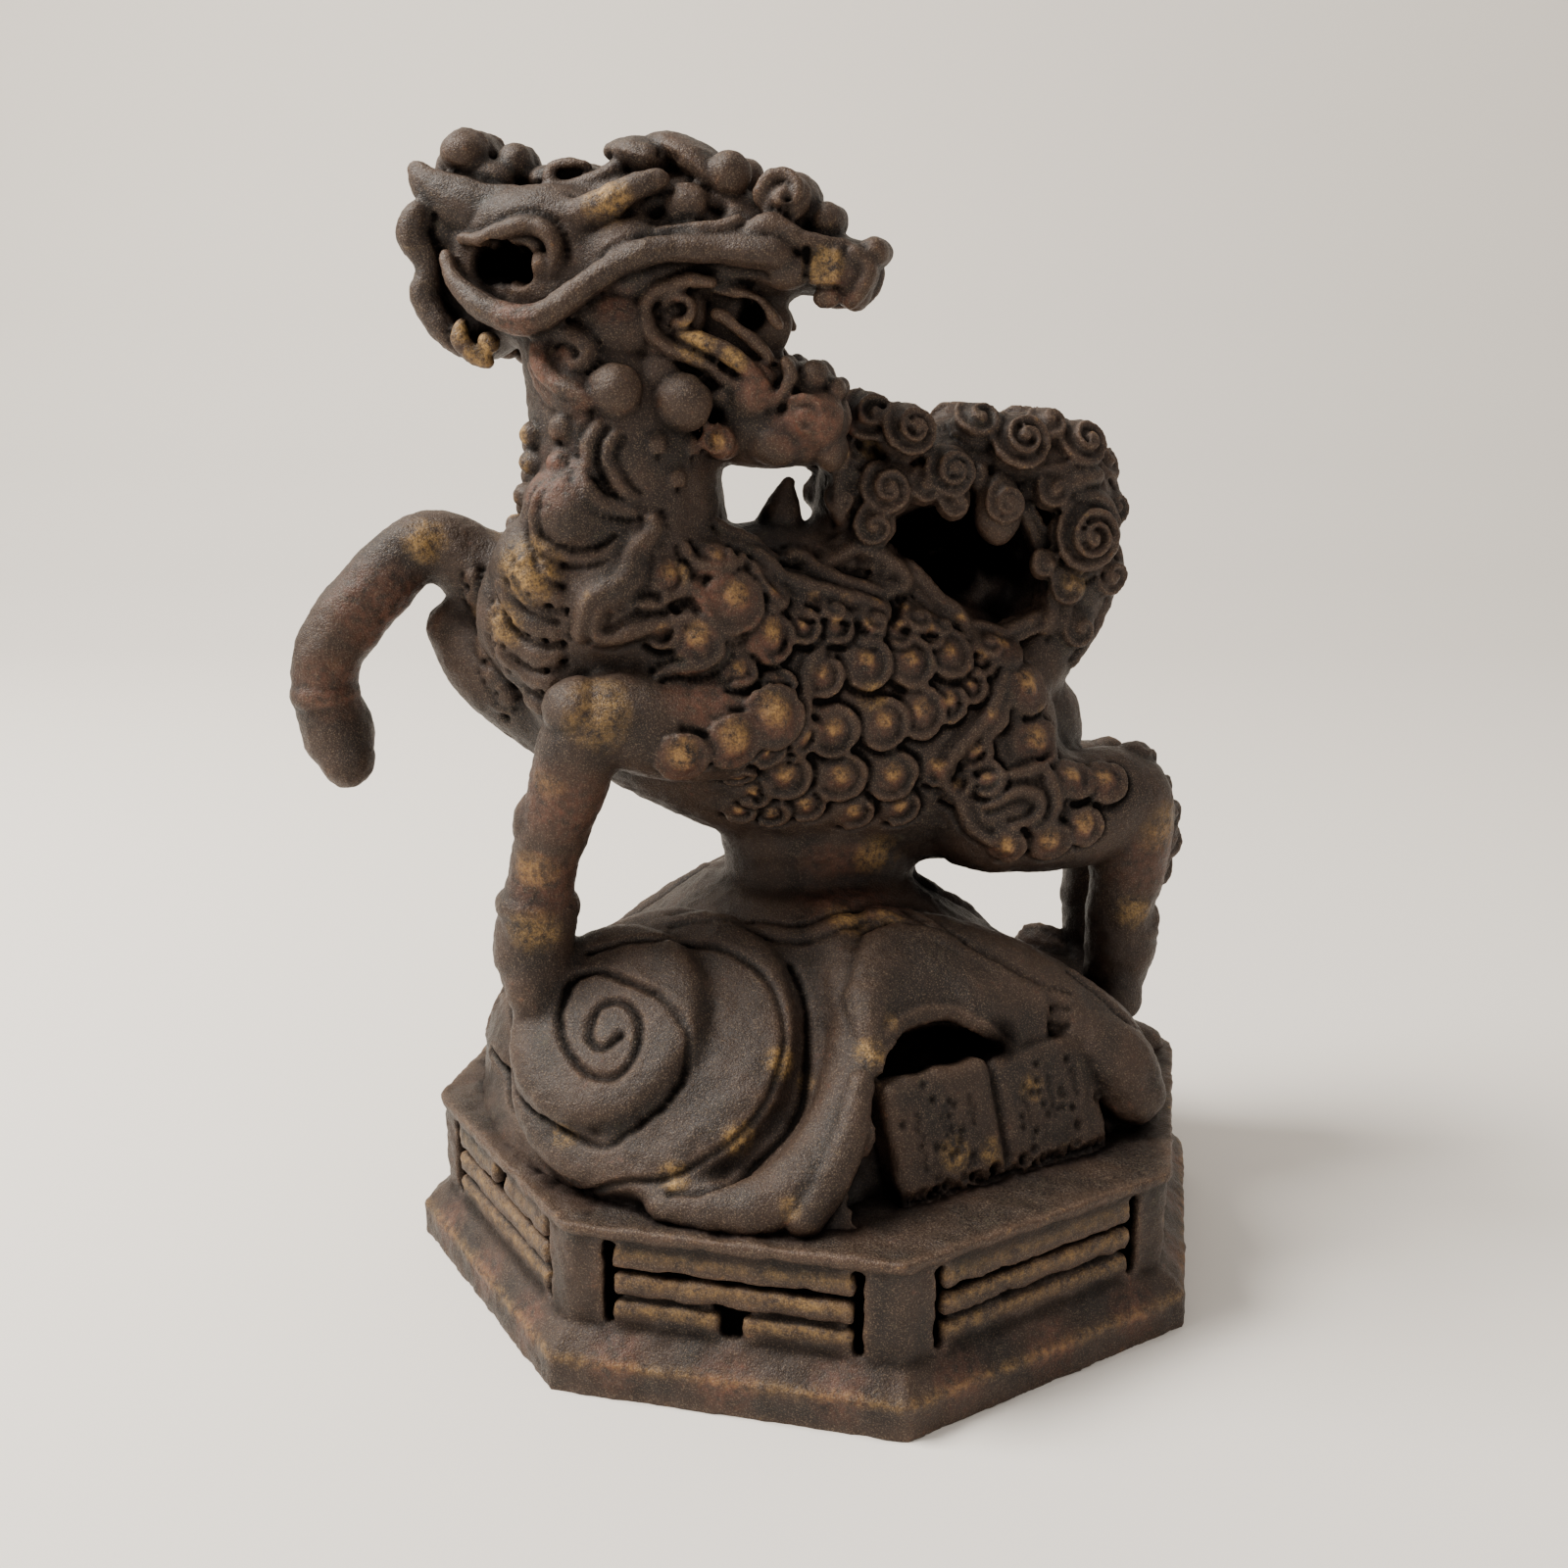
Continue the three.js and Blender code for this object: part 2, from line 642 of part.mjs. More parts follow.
function bosses() {
  const ridge = (points, radii) => limb(points.map((at) => body(...at)), radii, { sides: 5, rings: 8 });
  return [
    ...BOSSES.map(([u, n, z, r]) => blob(body(u, n, z), [r, 1.6, r], SMALL, along)),
    ridge(
      [[-19.5, 10.5, 87.5], [-22.5, 12.4, 83.5], [-27.4, 11.6, 78.5], [-27.6, 11.6, 73]],
      [1.2, 1.5, 1.6, 1],
    ),
    ridge(
      [[13, 11.6, 70], [11.2, 12.2, 62], [13.5, 12, 53], [21, 12.4, 49.5], [26, 12, 52]],
      [1, 1.4, 1.5, 1.5, 1],
    ),
  ];
}

// Head: it looks back towards the tail. HEAD_Y is its own middle plane. Both its sides have what
// oneSide makes, and the seen side has what nearSide makes as well.
const HEAD_Y = -10;
const NEAR = -1;
const FAR = 1;

function oneSide(make, hand) {
  const at = (x, y, z) => point(x, HEAD_Y + hand * (HEAD_Y - y), z);
  return make(at, point(0, hand, 0));
}
const bothSides = (make) => [NEAR, FAR].flatMap((hand) => oneSide(make, hand));
const nearSide = (make) => oneSide(make, NEAR);

const middle = (x, z) => point(x, HEAD_Y, z);

function skull() {
  return [
    blob(middle(-24.5, 113.5), [12.5, 9.5, 9], [8, 6]),
    blob(middle(-33, 117), [6.5, 8, 8.5]),
    limb([middle(-18, 115), middle(-8, 114.8), middle(2, 114.6), middle(6, 114.8)], [8, 5.4, 3.9, 3], {
      side: back,
      flat: 1.15,
    }),
    limb(
      [middle(-25, 119), middle(-14, 121), middle(-5, 119)],
      [6, 5.5, 4],
      { side: back, flat: 1.1, rings: 6 },
    ),
  ];
}

function nose() {
  return [
    blob(point(-1.2, -11, 121.2), [3.9, 3.8, 4]),
    blob(point(-7, -8, 123.6), [3.6, 4, 3], SMALL),
    blob(point(2.3, -8, 119.6), [2.3, 3, 2.6], SMALL),
    blob(middle(7.6, 115.8), [1.9, 3.2, 1.9], SMALL),
  ];
}

// The brow is a crest like a flame over deep eye sockets
const sockets = () => nearSide((at) => [blob(at(-11, -18.2, 120.4), [4, 3, 2.4], SMALL)]);

function brow() {
  return [
    limb(
      [point(-21, -11, 125), point(-17, -11, 127), point(-12, -11, 126.6), point(-7.4, -11, 123.8)],
      [1.6, 2.3, 2.2, 1.4],
      { side: back, flat: 1.6, sides: 6, rings: 7 },
    ),
    blob(point(-19.4, -11, 126.8), [2.2, 3, 1.2], TINY),
    blob(point(-12.8, -11, 128.2), [2.6, 3, 1.5], TINY),
    ...bothSides((at, out) => [
      blob(at(-10.4, -16.2, 120.4), [2, 1.8, 2], SMALL),
      limb(
        [at(-23, -18, 118.5), at(-17, -17.5, 122), at(-10.5, -16, 124.6), at(-6, -13, 122)],
        [2, 2, 1.9, 1.2],
        { side: out, sides: 6, rings: 7 },
      ),
    ]),
    blob(point(-23.4, -15, 123.6), [2.4, 1.6, 1.7], TINY),
  ];
}

// The long whisker sweeps from the nostril back under the ear and curls up behind it
function whiskers() {
  return bothSides((at, out) => [
    limb(
      [
        at(8.2, -12, 116),
        at(-2.4, -16, 117.4),
        at(-15.3, -19.8, 115),
        at(-20.4, -20.5, 112.3),
        at(-26.4, -20.5, 109.4),
        at(-31.3, -20, 110),
        at(-35.6, -18.5, 112.8),
        at(-36.6, -18, 116),
      ],
      [1.5, 2.1, 1.8, 1.9, 1.8, 1.7, 1.4, 1],
      { side: out, sides: 5, rings: 11 },
    ),
  ]);
}

function ears() {
  return bothSides((at, out) => [
    limb(
      [
        at(-35.6, -17.5, 117.4),
        at(-30, -19, 119),
        at(-24.8, -19, 117.6),
        at(-23.6, -18.6, 114.6),
        at(-25.4, -18, 112.6),
      ],
      [0.9, 1.1, 1.1, 1, 0.8],
      { side: out, flat: 2, sides: 5, rings: 9 },
    ),
  ]);
}

function horns() {
  return bothSides((at, out) => [
    limb(
      [at(-28, -13.5, 119), at(-34, -14.5, 120.5), at(-39, -15, 123.4), at(-42, -15, 127)],
      [4.6, 4.4, 3, 0.9],
      { side: out, flat: 0.7, sides: 7, rings: 7 },
    ),
  ]);
}

// The mane: balls on top of the head and locks down the back of it
function mane() {
  return [
    blob(point(-38.6, -6, 126), [4, 4.4, 3.8]),
    blob(point(-33.6, -7, 124.8), [3.6, 5, 3.4], SMALL),
    blob(point(-27.4, -10, 124), [3.4, 5, 2], SMALL),
    ...bothSides((at) => [
      blob(at(-39.4, -12, 117.4), [3, 3, 3.8], SMALL),
      blob(at(-38, -12.5, 111.4), [3, 3, 3.6], SMALL),
    ]),
    blob(point(-33.2, -14.6, 107), [3, 3, 2.6], SMALL),
    limb(
      [middle(-37.4, 121), middle(-38.6, 114), middle(-33, 107)],
      [4, 4, 4],
      { side: back, flat: 1.4, rings: 6 },
    ),
  ];
}

function cheeks() {
  return [
    ...bothSides((at) => [
      blob(at(-16.2, -18, 102.8), [2.9, 2.9, 2.9], SMALL),
      blob(at(-9.3, -17, 101.2), [3, 3, 3], SMALL),
      limb(
        [at(-12.4, -17, 108.6), at(-7.2, -16.6, 106.2), at(-3.8, -15.4, 103.2), at(-1.6, -14, 99.8)],
        [1.1, 1.4, 1.3, 1],
        { side: back, sides: 5, rings: 7 },
      ),
    ]),
    ...nearSide((at, out) => [
      scroll(at(-22, -18.2, 105.4), out, 20, 3, 1.1, 1.2),
      limb([at(-25, -17.6, 104), at(-23, -17.6, 101.6), at(-19.6, -17.4, 100.8)], [1.2, 1.2, 0.8], {
        side: out,
        sides: 5,
        rings: 5,
      }),
      blob(at(-6.4, -15, 97.5), [2.3, 2.5, 2.3], TINY),
      blob(at(-11.8, -16.6, 110.2), [2.8, 1.6, 2.6], TINY),
      blob(at(4.4, -12.4, 113.2), [2.4, 1.8, 1.6], TINY),
    ]),
  ];
}

// The open mouth is closed behind by its lining
function jaw() {
  return [
    limb([middle(-20, 106), middle(-12, 104), middle(-4, 102.2), middle(1.8, 103)], [8, 6, 4.2, 2.8], {
      side: back,
      flat: 1.15,
      rings: 7,
    }),
    limb(
      [middle(-14, 101), middle(-6, 98.5), middle(1, 98.6)],
      [5, 4.4, 3.8],
      { side: back, flat: 1.2, rings: 6 },
    ),
    blob(middle(-9, 108.6), [8, 5, 4.5]),
    blob(middle(-4.8, 95.6), [3, 4.4, 2.2], SMALL),
    blob(point(3, -8.5, 96.4), [2, 2.4, 2.6], SMALL),
  ];
}

const clouds = rightClouds();
const animal = [
  ...trunk(),
  ...chest(),
  ...neck(),
  ...nearForeleg(),
  ...farForeleg(),
  ...hindLeg(1, 0, 0, 4, 5.2),
  ...hindLeg(-1, 5.2, 3.5, 3, 2.4),
  ...tail(),
  ...spine(),
  ...scales(),
  ...bosses(),
  ...nose(),
  ...brow(),
  ...whiskers(),
  ...ears(),
  ...horns(),
  ...mane(),
  ...cheeks(),
  ...jaw(),
];
const ground = join([heap(), ...clouds.add, ...backClouds(), ...greatScroll(), wave()])
  .subtract(join([...clouds.cut, bay()]))
  .add(join(clouds.after));
const head = join(skull()).subtract(join(sockets()));
const joined = join([base(), ground, tablets(), head, ...animal]);

// A small void that the forms close in between them is filled, as the cast metal fills it
const casting = join(joined.decompose().filter((body) => body.volume() > 0));

// Joining leaves many needless vertices. Each whose loss moves the surface by less than "slack" is taken
// out: it is drawn along an edge onto a neighbour, unless that would fold the surface or open it.
function thin(place, faces, slack) {
  const around = place.map(() => new Set());
  faces.forEach((face, f) => face.forEach((v) => around[v].add(f)));
  const normalOf = ([a, b, c]) =>
    new THREE.Vector3().subVectors(place[b], place[a]).cross(point(0, 0, 0).subVectors(place[c], place[a]));
  const ring = (v) => new Set([...around[v]].flatMap((f) => faces[f]).filter((w) => w !== v));
  const moved = (face, from, to) => face.map((v) => (v === from ? to : v));

  const allowed = (from, to, limit) => {
    const shared = [...around[from]].filter((f) => faces[f].includes(to));
    const others = ring(to);
    if (shared.length !== 2 || [...ring(from)].filter((v) => others.has(v)).length !== 2) return false;
    const step = new THREE.Vector3().subVectors(place[to], place[from]);
    for (const f of around[from]) {
      const before = normalOf(faces[f]);
      if (before.length() < SLIVER_AREA) continue;
      before.normalize();
      if (Math.abs(before.dot(step)) > limit) return false;
      if (shared.includes(f)) continue;
      const after = normalOf(moved(faces[f], from, to));
      if (after.length() < SLIVER_AREA || after.normalize().dot(before) < MOST_TURN) return false;
    }
    return true;
  };

  const draw = (from, to) => {
    for (const f of around[from]) {
      if (faces[f].includes(to)) {
        for (const v of faces[f]) if (v !== from) around[v].delete(f);
        faces[f] = null;
      } else {
        faces[f] = moved(faces[f], from, to);
        around[to].add(f);
      }
    }
    around[from].clear();
  };

  for (const limit of [slack / 10, slack / 3, slack, slack])
    for (let from = 0; from < place.length; from++) {
      const nearest = [...ring(from)].sort(
        (a, b) => place[a].distanceTo(place[from]) - place[b].distanceTo(place[from]),
      );
      const to = nearest.find((v) => allowed(from, v, limit));
      if (to !== undefined) draw(from, to);
    }
  return faces.filter((face) => face);
}

function geometryOf(made) {
  const mesh = made.getMesh();
  const corners = mesh.vertProperties;
  const place = [];
  for (let i = 0; i < corners.length; i += 3) place.push(point(corners[i], corners[i + 1], corners[i + 2]));
  const faces = [];
  for (let i = 0; i < mesh.triVerts.length; i += 3) faces.push([...mesh.triVerts.slice(i, i + 3)]);
  const kept = thin(place, faces, SURFACE_SLACK);
  const geometry = new THREE.BufferGeometry().setFromPoints(kept.flat().map((v) => place[v]));
  const merged = mergeVertices(geometry, 1e-4);
  merged.computeVertexNormals();
  return merged;
}

const figure = new THREE.Mesh(
  geometryOf(casting),
  new THREE.MeshStandardMaterial({ color: COLOUR, roughness: 0.68, metalness: 0.35 }),
);
figure.name = "qilin_figure";

const group = new THREE.Group();
group.add(figure);
export default group;
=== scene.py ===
# %% [markdown]
# # A small cast qilin
#
# The figure is one dark brass casting: a rearing qilin that looks back over its shoulder, above
# heaped clouds, on an eight-sided base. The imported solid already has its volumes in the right
# places. It could be dressed with loose ornaments, but on a real casting the ornaments melt into
# the metal under them. So this script works as a wax modeller does. It takes the base from the
# solid, builds a core of limbs and balls above it, lays strands and curls of wax on the core and
# fuses everything into one skin. Then it scores, pits and colours that skin.

# %% The fixed frame
import math

import bmesh
import bpy
import numpy
from mathutils import Matrix, Vector, noise
from mathutils.bvhtree import BVHTree
from mathutils.kdtree import KDTree


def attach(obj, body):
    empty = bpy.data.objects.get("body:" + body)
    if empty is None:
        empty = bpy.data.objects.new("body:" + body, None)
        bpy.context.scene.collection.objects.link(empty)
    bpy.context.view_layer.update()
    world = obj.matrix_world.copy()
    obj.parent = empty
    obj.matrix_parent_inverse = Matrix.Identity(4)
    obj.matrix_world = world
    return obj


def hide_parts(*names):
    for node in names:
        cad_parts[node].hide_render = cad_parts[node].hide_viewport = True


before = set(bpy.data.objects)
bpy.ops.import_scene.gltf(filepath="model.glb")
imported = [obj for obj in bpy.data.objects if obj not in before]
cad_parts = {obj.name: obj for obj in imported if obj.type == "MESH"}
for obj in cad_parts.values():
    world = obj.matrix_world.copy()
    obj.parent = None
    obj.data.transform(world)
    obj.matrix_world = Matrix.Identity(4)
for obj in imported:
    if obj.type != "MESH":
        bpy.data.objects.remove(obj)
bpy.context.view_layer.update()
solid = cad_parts["qilin_figure"]
MM = 0.001

# %% [markdown]
# ## Camera
#
# The photograph looks slightly down on the figure, from a little to the right of its front. A
# moderate lens, close to the object, gives the converging uprights that the photograph has.

# %% Camera
CAMERA_PLACE = (0.0386, -0.1846, 0.1049)
CAMERA_TIP = math.radians(90 - 14.61)
CAMERA_TURN = math.radians(13.14)
CAMERA_LENS = 36.74
SENSOR_WIDTH = 36

lens = bpy.data.cameras.new("camera")
lens.lens = CAMERA_LENS
lens.sensor_width = SENSOR_WIDTH
camera = bpy.data.objects.new("camera", lens)
camera.location = CAMERA_PLACE
camera.rotation_euler = (CAMERA_TIP, 0, CAMERA_TURN)
bpy.context.scene.collection.objects.link(camera)
bpy.context.scene.camera = camera
print("camera at", CAMERA_PLACE)

# %% [markdown]
# ## Wax tools
#
# Everything is modelled in millimetres and brought to metres at the end. A form is a bmesh of
# closed shells that may overlap, because fusing them later takes away what lies inside.

# %% Directions
ASKEW = math.radians(30)
ALONG = Vector((math.cos(ASKEW), math.sin(ASKEW), 0))
FLANK = Vector((math.sin(ASKEW), -math.cos(ASKEW), 0))
UP = Vector((0, 0, 1))


def body(along, out, height):
    """A place in the animal's own frame: along its trunk, out of its seen flank, and up."""
    return ALONG * along + FLANK * out + UP * height


# %% Fusing
def object_of(form, name):
    """An object in the scene with a form's mesh."""
    mesh = bpy.data.meshes.new(name)
    form.to_mesh(mesh)
    made = bpy.data.objects.new(name, mesh)
    bpy.context.scene.collection.objects.link(made)
    return made


def with_modifiers(made, settings):
    """The mesh that an object gives under the named modifiers. The object itself is removed."""
    for kind, values in settings:
        modifier = made.modifiers.new(kind, kind)
        for key, value in values.items():
            setattr(modifier, key, value)
    graph = bpy.context.evaluated_depsgraph_get()
    result = bpy.data.meshes.new_from_object(made.evaluated_get(graph))
    old = made.data
    bpy.data.objects.remove(made)
    bpy.data.meshes.remove(old)
    return result


def fused(form, voxel, rounds):
    """One closed skin round all of a form's shells, softened by rounds of smoothing."""
    return with_modifiers(
        object_of(form, "wax"),
        [
            ("REMESH", {"mode": "VOXEL", "voxel_size": voxel, "adaptivity": 0}),
            ("SMOOTH", {"factor": 0.5, "iterations": rounds}),
        ],
    )


# %% [markdown]
# ## The base's core
#
# The eight-sided base of the real casting is crisp, while the figure on it is soft, so the two
# need different care. The base could be built again from a cylinder, but the solid already has its
# plate, drum and sunk panels. So its copy is merged, brought to millimetres and cut level at the
# base's top, and the cut is closed. The clouds and the animal are modelled afresh on it.

# %% The base's core
BASE_TOP = 18.5
CUT_UNDER = 0.05
CUT_NEAR = 1e-5
MERGE_NEAR = 1e-7


def cut_level(form, height, keep_above=False):
    """Cut a form level at a height, keep one side of it, and close the cut."""
    everything = form.verts[:] + form.edges[:] + form.faces[:]
    away = -UP if keep_above else UP
    bmesh.ops.bisect_plane(
        form, geom=everything, plane_co=UP * height, plane_no=away, clear_outer=True, dist=CUT_NEAR
    )
    rim = [edge for edge in form.edges if edge.is_boundary]
    bmesh.ops.triangle_fill(form, edges=rim, use_beauty=True)


base_core = bmesh.new()
base_core.from_mesh(solid.data)
bmesh.ops.remove_doubles(base_core, verts=base_core.verts, dist=MERGE_NEAR)
bmesh.ops.scale(base_core, verts=base_core.verts, vec=(1 / MM, 1 / MM, 1 / MM))
cut_level(base_core, BASE_TOP - CUT_UNDER)
bmesh.ops.recalc_face_normals(base_core, faces=base_core.faces)
print("base", len(base_core.verts), "points, open edges", sum(edge.is_boundary for edge in base_core.edges))

# %% [markdown]
# ## Strands and balls
#
# Most ornaments are strands: round bars that swell and thin along a smooth line. A curve with a
# bevel could draw them, but its section is always the same shape. Here a ring is extruded from
# one place to the next, so each ring can be as wide, as flat and as tilted as the strand needs.

# %% Smooth lines
STEP = 0.55


def smooth_line(knots, step=STEP):
    """Close rows of values on a smooth curve through the knots, whose first three are a place."""
    knots = numpy.array(knots, float)
    rows = []
    for index in range(len(knots) - 1):
        before = knots[max(index - 1, 0)]
        start = knots[index]
        end = knots[index + 1]
        after = knots[min(index + 2, len(knots) - 1)]
        parts = max(2, math.ceil(numpy.linalg.norm(end[:3] - start[:3]) / step))
        for part in range(parts):
            t = part / parts
            rows.append(
                0.5
                * (
                    2 * start
                    + (end - before) * t
                    + (2 * before - 5 * start + 4 * end - after) * t**2
                    + (3 * start - before - 3 * end + after) * t**3
                )
            )
    rows.append(knots[-1])
    return rows


# %% Adding wax
def add(form, wax):
    """Wax joins a form as one more closed shell."""
    mesh = bpy.data.meshes.new("wax")
    wax.to_mesh(mesh)
    wax.free()
    form.from_mesh(mesh, face_normals=False, vertex_normals=False)
    bpy.data.meshes.remove(mesh)


def basis(place, across, lift, ahead):
    """The matrix that brings a unit shape to a place, stretched along three directions."""
    matrix = Matrix((across, lift, ahead)).transposed().to_4x4()
    matrix.translation = place
    return matrix


BLUNT = 0.35


def strand(form, places, widths, outs, tall=1.0, sides=8, blunt=BLUNT):
    """A strand through places, with its half width and its outward direction at each."""
    places = [Vector(place) for place in places]
    travelled = [0]
    for here, there in zip(places, places[1:]):
        travelled.append(travelled[-1] + (there - here).length)
    rings = []
    for index, place in enumerate(places):
        ahead = places[min(index + 1, len(places) - 1)] - places[max(index - 1, 0)]
        ahead.normalize()
        across = ahead.cross(outs[index]).normalized()
        lift = across.cross(ahead)
        width = widths[index]
        end_gap = min(travelled[index], travelled[-1] - travelled[index]) / width
        rounding = max(blunt, math.sqrt(max(0, 1 - (1 - min(end_gap, 1)) ** 2)))
        width *= rounding
        rings.append(basis(place, across * width, lift * width * tall, ahead))
    wax = bmesh.new()
    bmesh.ops.create_circle(wax, cap_ends=True, segments=sides, radius=1, matrix=rings[0])
    edges = wax.edges[:]
    for before, after in zip(rings, rings[1:]):
        made = bmesh.ops.extrude_edge_only(wax, edges=edges)["geom"]
        corners = {part for part in made if isinstance(part, bmesh.types.BMVert)}
        edges = [
            part for part in made if isinstance(part, bmesh.types.BMEdge) and corners.issuperset(part.verts)
        ]
        bmesh.ops.transform(wax, matrix=after @ before.inverted(), verts=list(corners))
    bmesh.ops.holes_fill(wax, edges=edges)
    add(form, wax)


def ball(form, place, radii, out=UP, fine=2):
    """A ball, flattened along the way it faces when its last radius is the smaller one."""
    turn = Vector(out).to_track_quat("Z", "Y").to_matrix().to_4x4()
    wax = bmesh.new()
    bmesh.ops.create_icosphere(
        wax,
        subdivisions=fine,
        radius=1,
        matrix=Matrix.Translation(place) @ turn @ Matrix.Diagonal((*radii, 1)),
    )
    add(form, wax)


# %% [markdown]
# ## Limbs and volumes
#
# Trunk, neck, legs and tail of the real animal are plain swelling rods under their ornament. A
# subdivided cage could give them too, but then every crossing of neck and trunk would need its
# own faces. Here each is a thick strand with a ball at either end, and the shells simply run
# into each other.

# %% Limbs
LIMB_STEP = 1.2
BALL_FINE = 3
BOTH_SIDES = (1, -1)


def in_body(knots):
    """Knots of (along, out, up, radius) as knots of (x, y, z, radius)."""
    return [(*body(*knot[:3]), *knot[3:]) for knot in knots]


def limb(form, knots, side=FLANK, flat=1.0, sides=20):
    """A round-ended limb along knots of (x, y, z, radius), narrower or wider towards side."""
    rows = smooth_line(knots, LIMB_STEP)
    places = [Vector(row[:3]) for row in rows]
    strand(form, places, [row[3] for row in rows], [side] * len(rows), flat, sides, blunt=1)
    for place, radius in ((places[0], knots[0][3]), (places[-1], knots[-1][3])):
        ball(form, place, (radius, radius, radius * flat), side, BALL_FINE)


def hoof(form, top, bottom, size):
    """A cloven hoof: two toes side by side under a rounded pastern."""
    half_way = (top + bottom) / 2
    limb(form, [(*top, size * 0.8), (*half_way, size * 0.9)])
    for side in BOTH_SIDES:
        toe = FLANK * side * size * 0.52
        limb(form, [(*(half_way + toe * 0.8), size * 0.6), (*(bottom + toe), size * 0.66)], FLANK, 0.76)


# %% The trunk
# Each row of a limb is a place along the animal, out of its seen flank and up, and a radius.
TRUNK = [
    (-31.5, 0, 78, 9), (-22, 0, 73.5, 15), (-4, 0, 66.5, 17.6), (14, 0, 61.5, 16.4), (22, 0, 60, 14),
    (25.5, 0, 61, 9),
]
TRUNK_FLAT = 0.74
TRUNK_SIDES = 28
CHEST_PLATES = 5
SHOULDER = ((-16, 7, 74), (10.5, 14, 6.3))
HAUNCH = ((18.5, 6, 59.5), (10, 14.5, 6.6))
COLUMN = [(0, 0, 37, 14), (0, 0, 45, 12), (1, 0, 53, 14)]
COLUMN_FLAT = 0.62

volumes = bmesh.new()
limb(volumes, in_body(TRUNK), FLANK, TRUNK_FLAT, TRUNK_SIDES)
for index in range(CHEST_PLATES):
    plate_out = body(-0.85, 0.4, -0.15 - 0.13 * index)
    plate_radii = (6.6 - 0.35 * index, 6.2, 5 - 0.25 * index)
    ball(volumes, body(-33.6 + index * 0.75, 2.6, 82 - 3.5 * index), plate_radii, plate_out, BALL_FINE)
for side in BOTH_SIDES:
    for (along, out, height), radii in (SHOULDER, HAUNCH):
        ball(volumes, body(along, out * side, height), radii, body(0, side, 0.02), BALL_FINE)
limb(volumes, in_body(COLUMN), FLANK, COLUMN_FLAT)
print("trunk", len(volumes.verts), "points")

# %% The neck
NECK = [(-24, 0, 80, 13), (-23, 0, 90, 11.2), (-23.5, 0.5, 98, 10.2)]
NECK_TOP = (-22.5, -11, 106, 9)
NECK_FLAT = 0.95
FAR_BREAST = [(-42, -9, 75.5, 3.4), (-38, -7, 71, 5.2), (-30, -4, 66, 6.5)]

limb(volumes, [*in_body(NECK), NECK_TOP], FLANK, NECK_FLAT)
ball(volumes, body(-30.4, 6, 89.8), (5.4, 5.4, 5), body(-0.5, 0.85, 0.1), BALL_FINE)
ball(volumes, body(-34.4, 4.6, 84), (5, 5.2, 4.2), body(-0.8, 0.6, 0.1), BALL_FINE)
limb(volumes, in_body(FAR_BREAST))
print("trunk and neck", len(volumes.verts), "points")

# %% The legs
# The hind legs stand apart: which flank each is on, how far it is set back, and how much lower.
NEAR_FORELEG = [
    (-10, 9, 67, 6.5), (-20, 11.5, 66.2, 5.8), (-29.6, 12, 67.6, 4.9), (-33, 10.8, 59, 4.2),
    (-35.3, 9, 51, 3.8), (-36, 8.5, 45, 4.6),
]
FAR_FORELEG = [
    (-30, -6, 79, 7.5), (-38, -8, 82, 5), (-44.4, -9, 85.4, 3.9), (-51, -9, 80, 4.1),
    (-56.2, -9, 73.4, 4), (-57, -9, 68, 3.6),
]
HIND_LEG = [
    (20, 7, 54, 9), (29, 8.5, 52.5, 7.4), (36.5, 9, 53.5, 6), (37.6, 8.8, 45, 4.9), (37, 8.5, 38.5, 4.2),
    (37.6, 8.2, 34, 4.7),
]
HIND_STANCES = ((1, 0, 0), (-1, 5.2, 3.5))

limb(volumes, in_body(NEAR_FORELEG))
hoof(volumes, body(-36.4, 8, 45), body(-36.9, 8, 37.5), 5.2)
limb(volumes, in_body(FAR_FORELEG))
hoof(volumes, body(-56.6, -9, 67), body(-55, -9, 60.8), 4.8)
for side, shift, drop in HIND_STANCES:
    knots = [(along + shift, out * side, height - drop, radius) for along, out, height, radius in HIND_LEG]
    limb(volumes, in_body(knots))
    hoof(volumes, body(37.4 + shift, 8 * side, 34 - drop), body(36.8 + shift, 8 * side, 27.5 - drop), 4.6)
print("with legs", len(volumes.verts), "points")

# %% The tail and the spine
TAIL = [
    (25, 0, 68, 5.5), (30.5, 0, 77, 5.2), (32.8, 0, 86, 5), (28.5, 0, 93, 5), (19, 0, 93.6, 4.3),
    (10, 0, 92.5, 4.6), (4.5, 0, 89.5, 4.2),
]
TAIL_FLAT = 1.35
TAIL_END = [(3, 1, 94, 3.4), (3, 0, 87, 3.8), (7, 0, 79, 5)]
TAIL_END_FLAT = 1.3
SPINE = [(-12, 0, 82.5, 5), (-3, 0, 82.5, 5), (8, 0, 79, 4.4)]

limb(volumes, in_body(TAIL), FLANK, TAIL_FLAT)
limb(volumes, in_body(TAIL_END), FLANK, TAIL_END_FLAT)
ball(volumes, body(16, -4.4, 84), (14.5, 9.8, 2.4), FLANK, BALL_FINE)
ball(volumes, body(20.6, -2.4, 78.6), (5.4, 4.6, 2.8), FLANK, BALL_FINE)
limb(volumes, in_body(SPINE))
print("with tail", len(volumes.verts), "points")

# %% [markdown]
# ## The skull
#
# The real head is a long dragon's head, turned over the left shoulder until it looks to the
# viewer's right. It could be turned after modelling, but its features are easiest to read off in
# the view's own directions. So its volumes lie along x, on both sides of one middle plane.

# %% The skull
HEAD_MIDDLE = -10
BACK = Vector((0, 1, 0))


def middle(x, z):
    """A place on the head's middle plane."""
    return Vector((x, HEAD_MIDDLE, z))


def on_middle(knots):
    """Knots of (x, z, radius) on the head's middle plane."""
    return [(*middle(x, z), radius) for x, z, radius in knots]


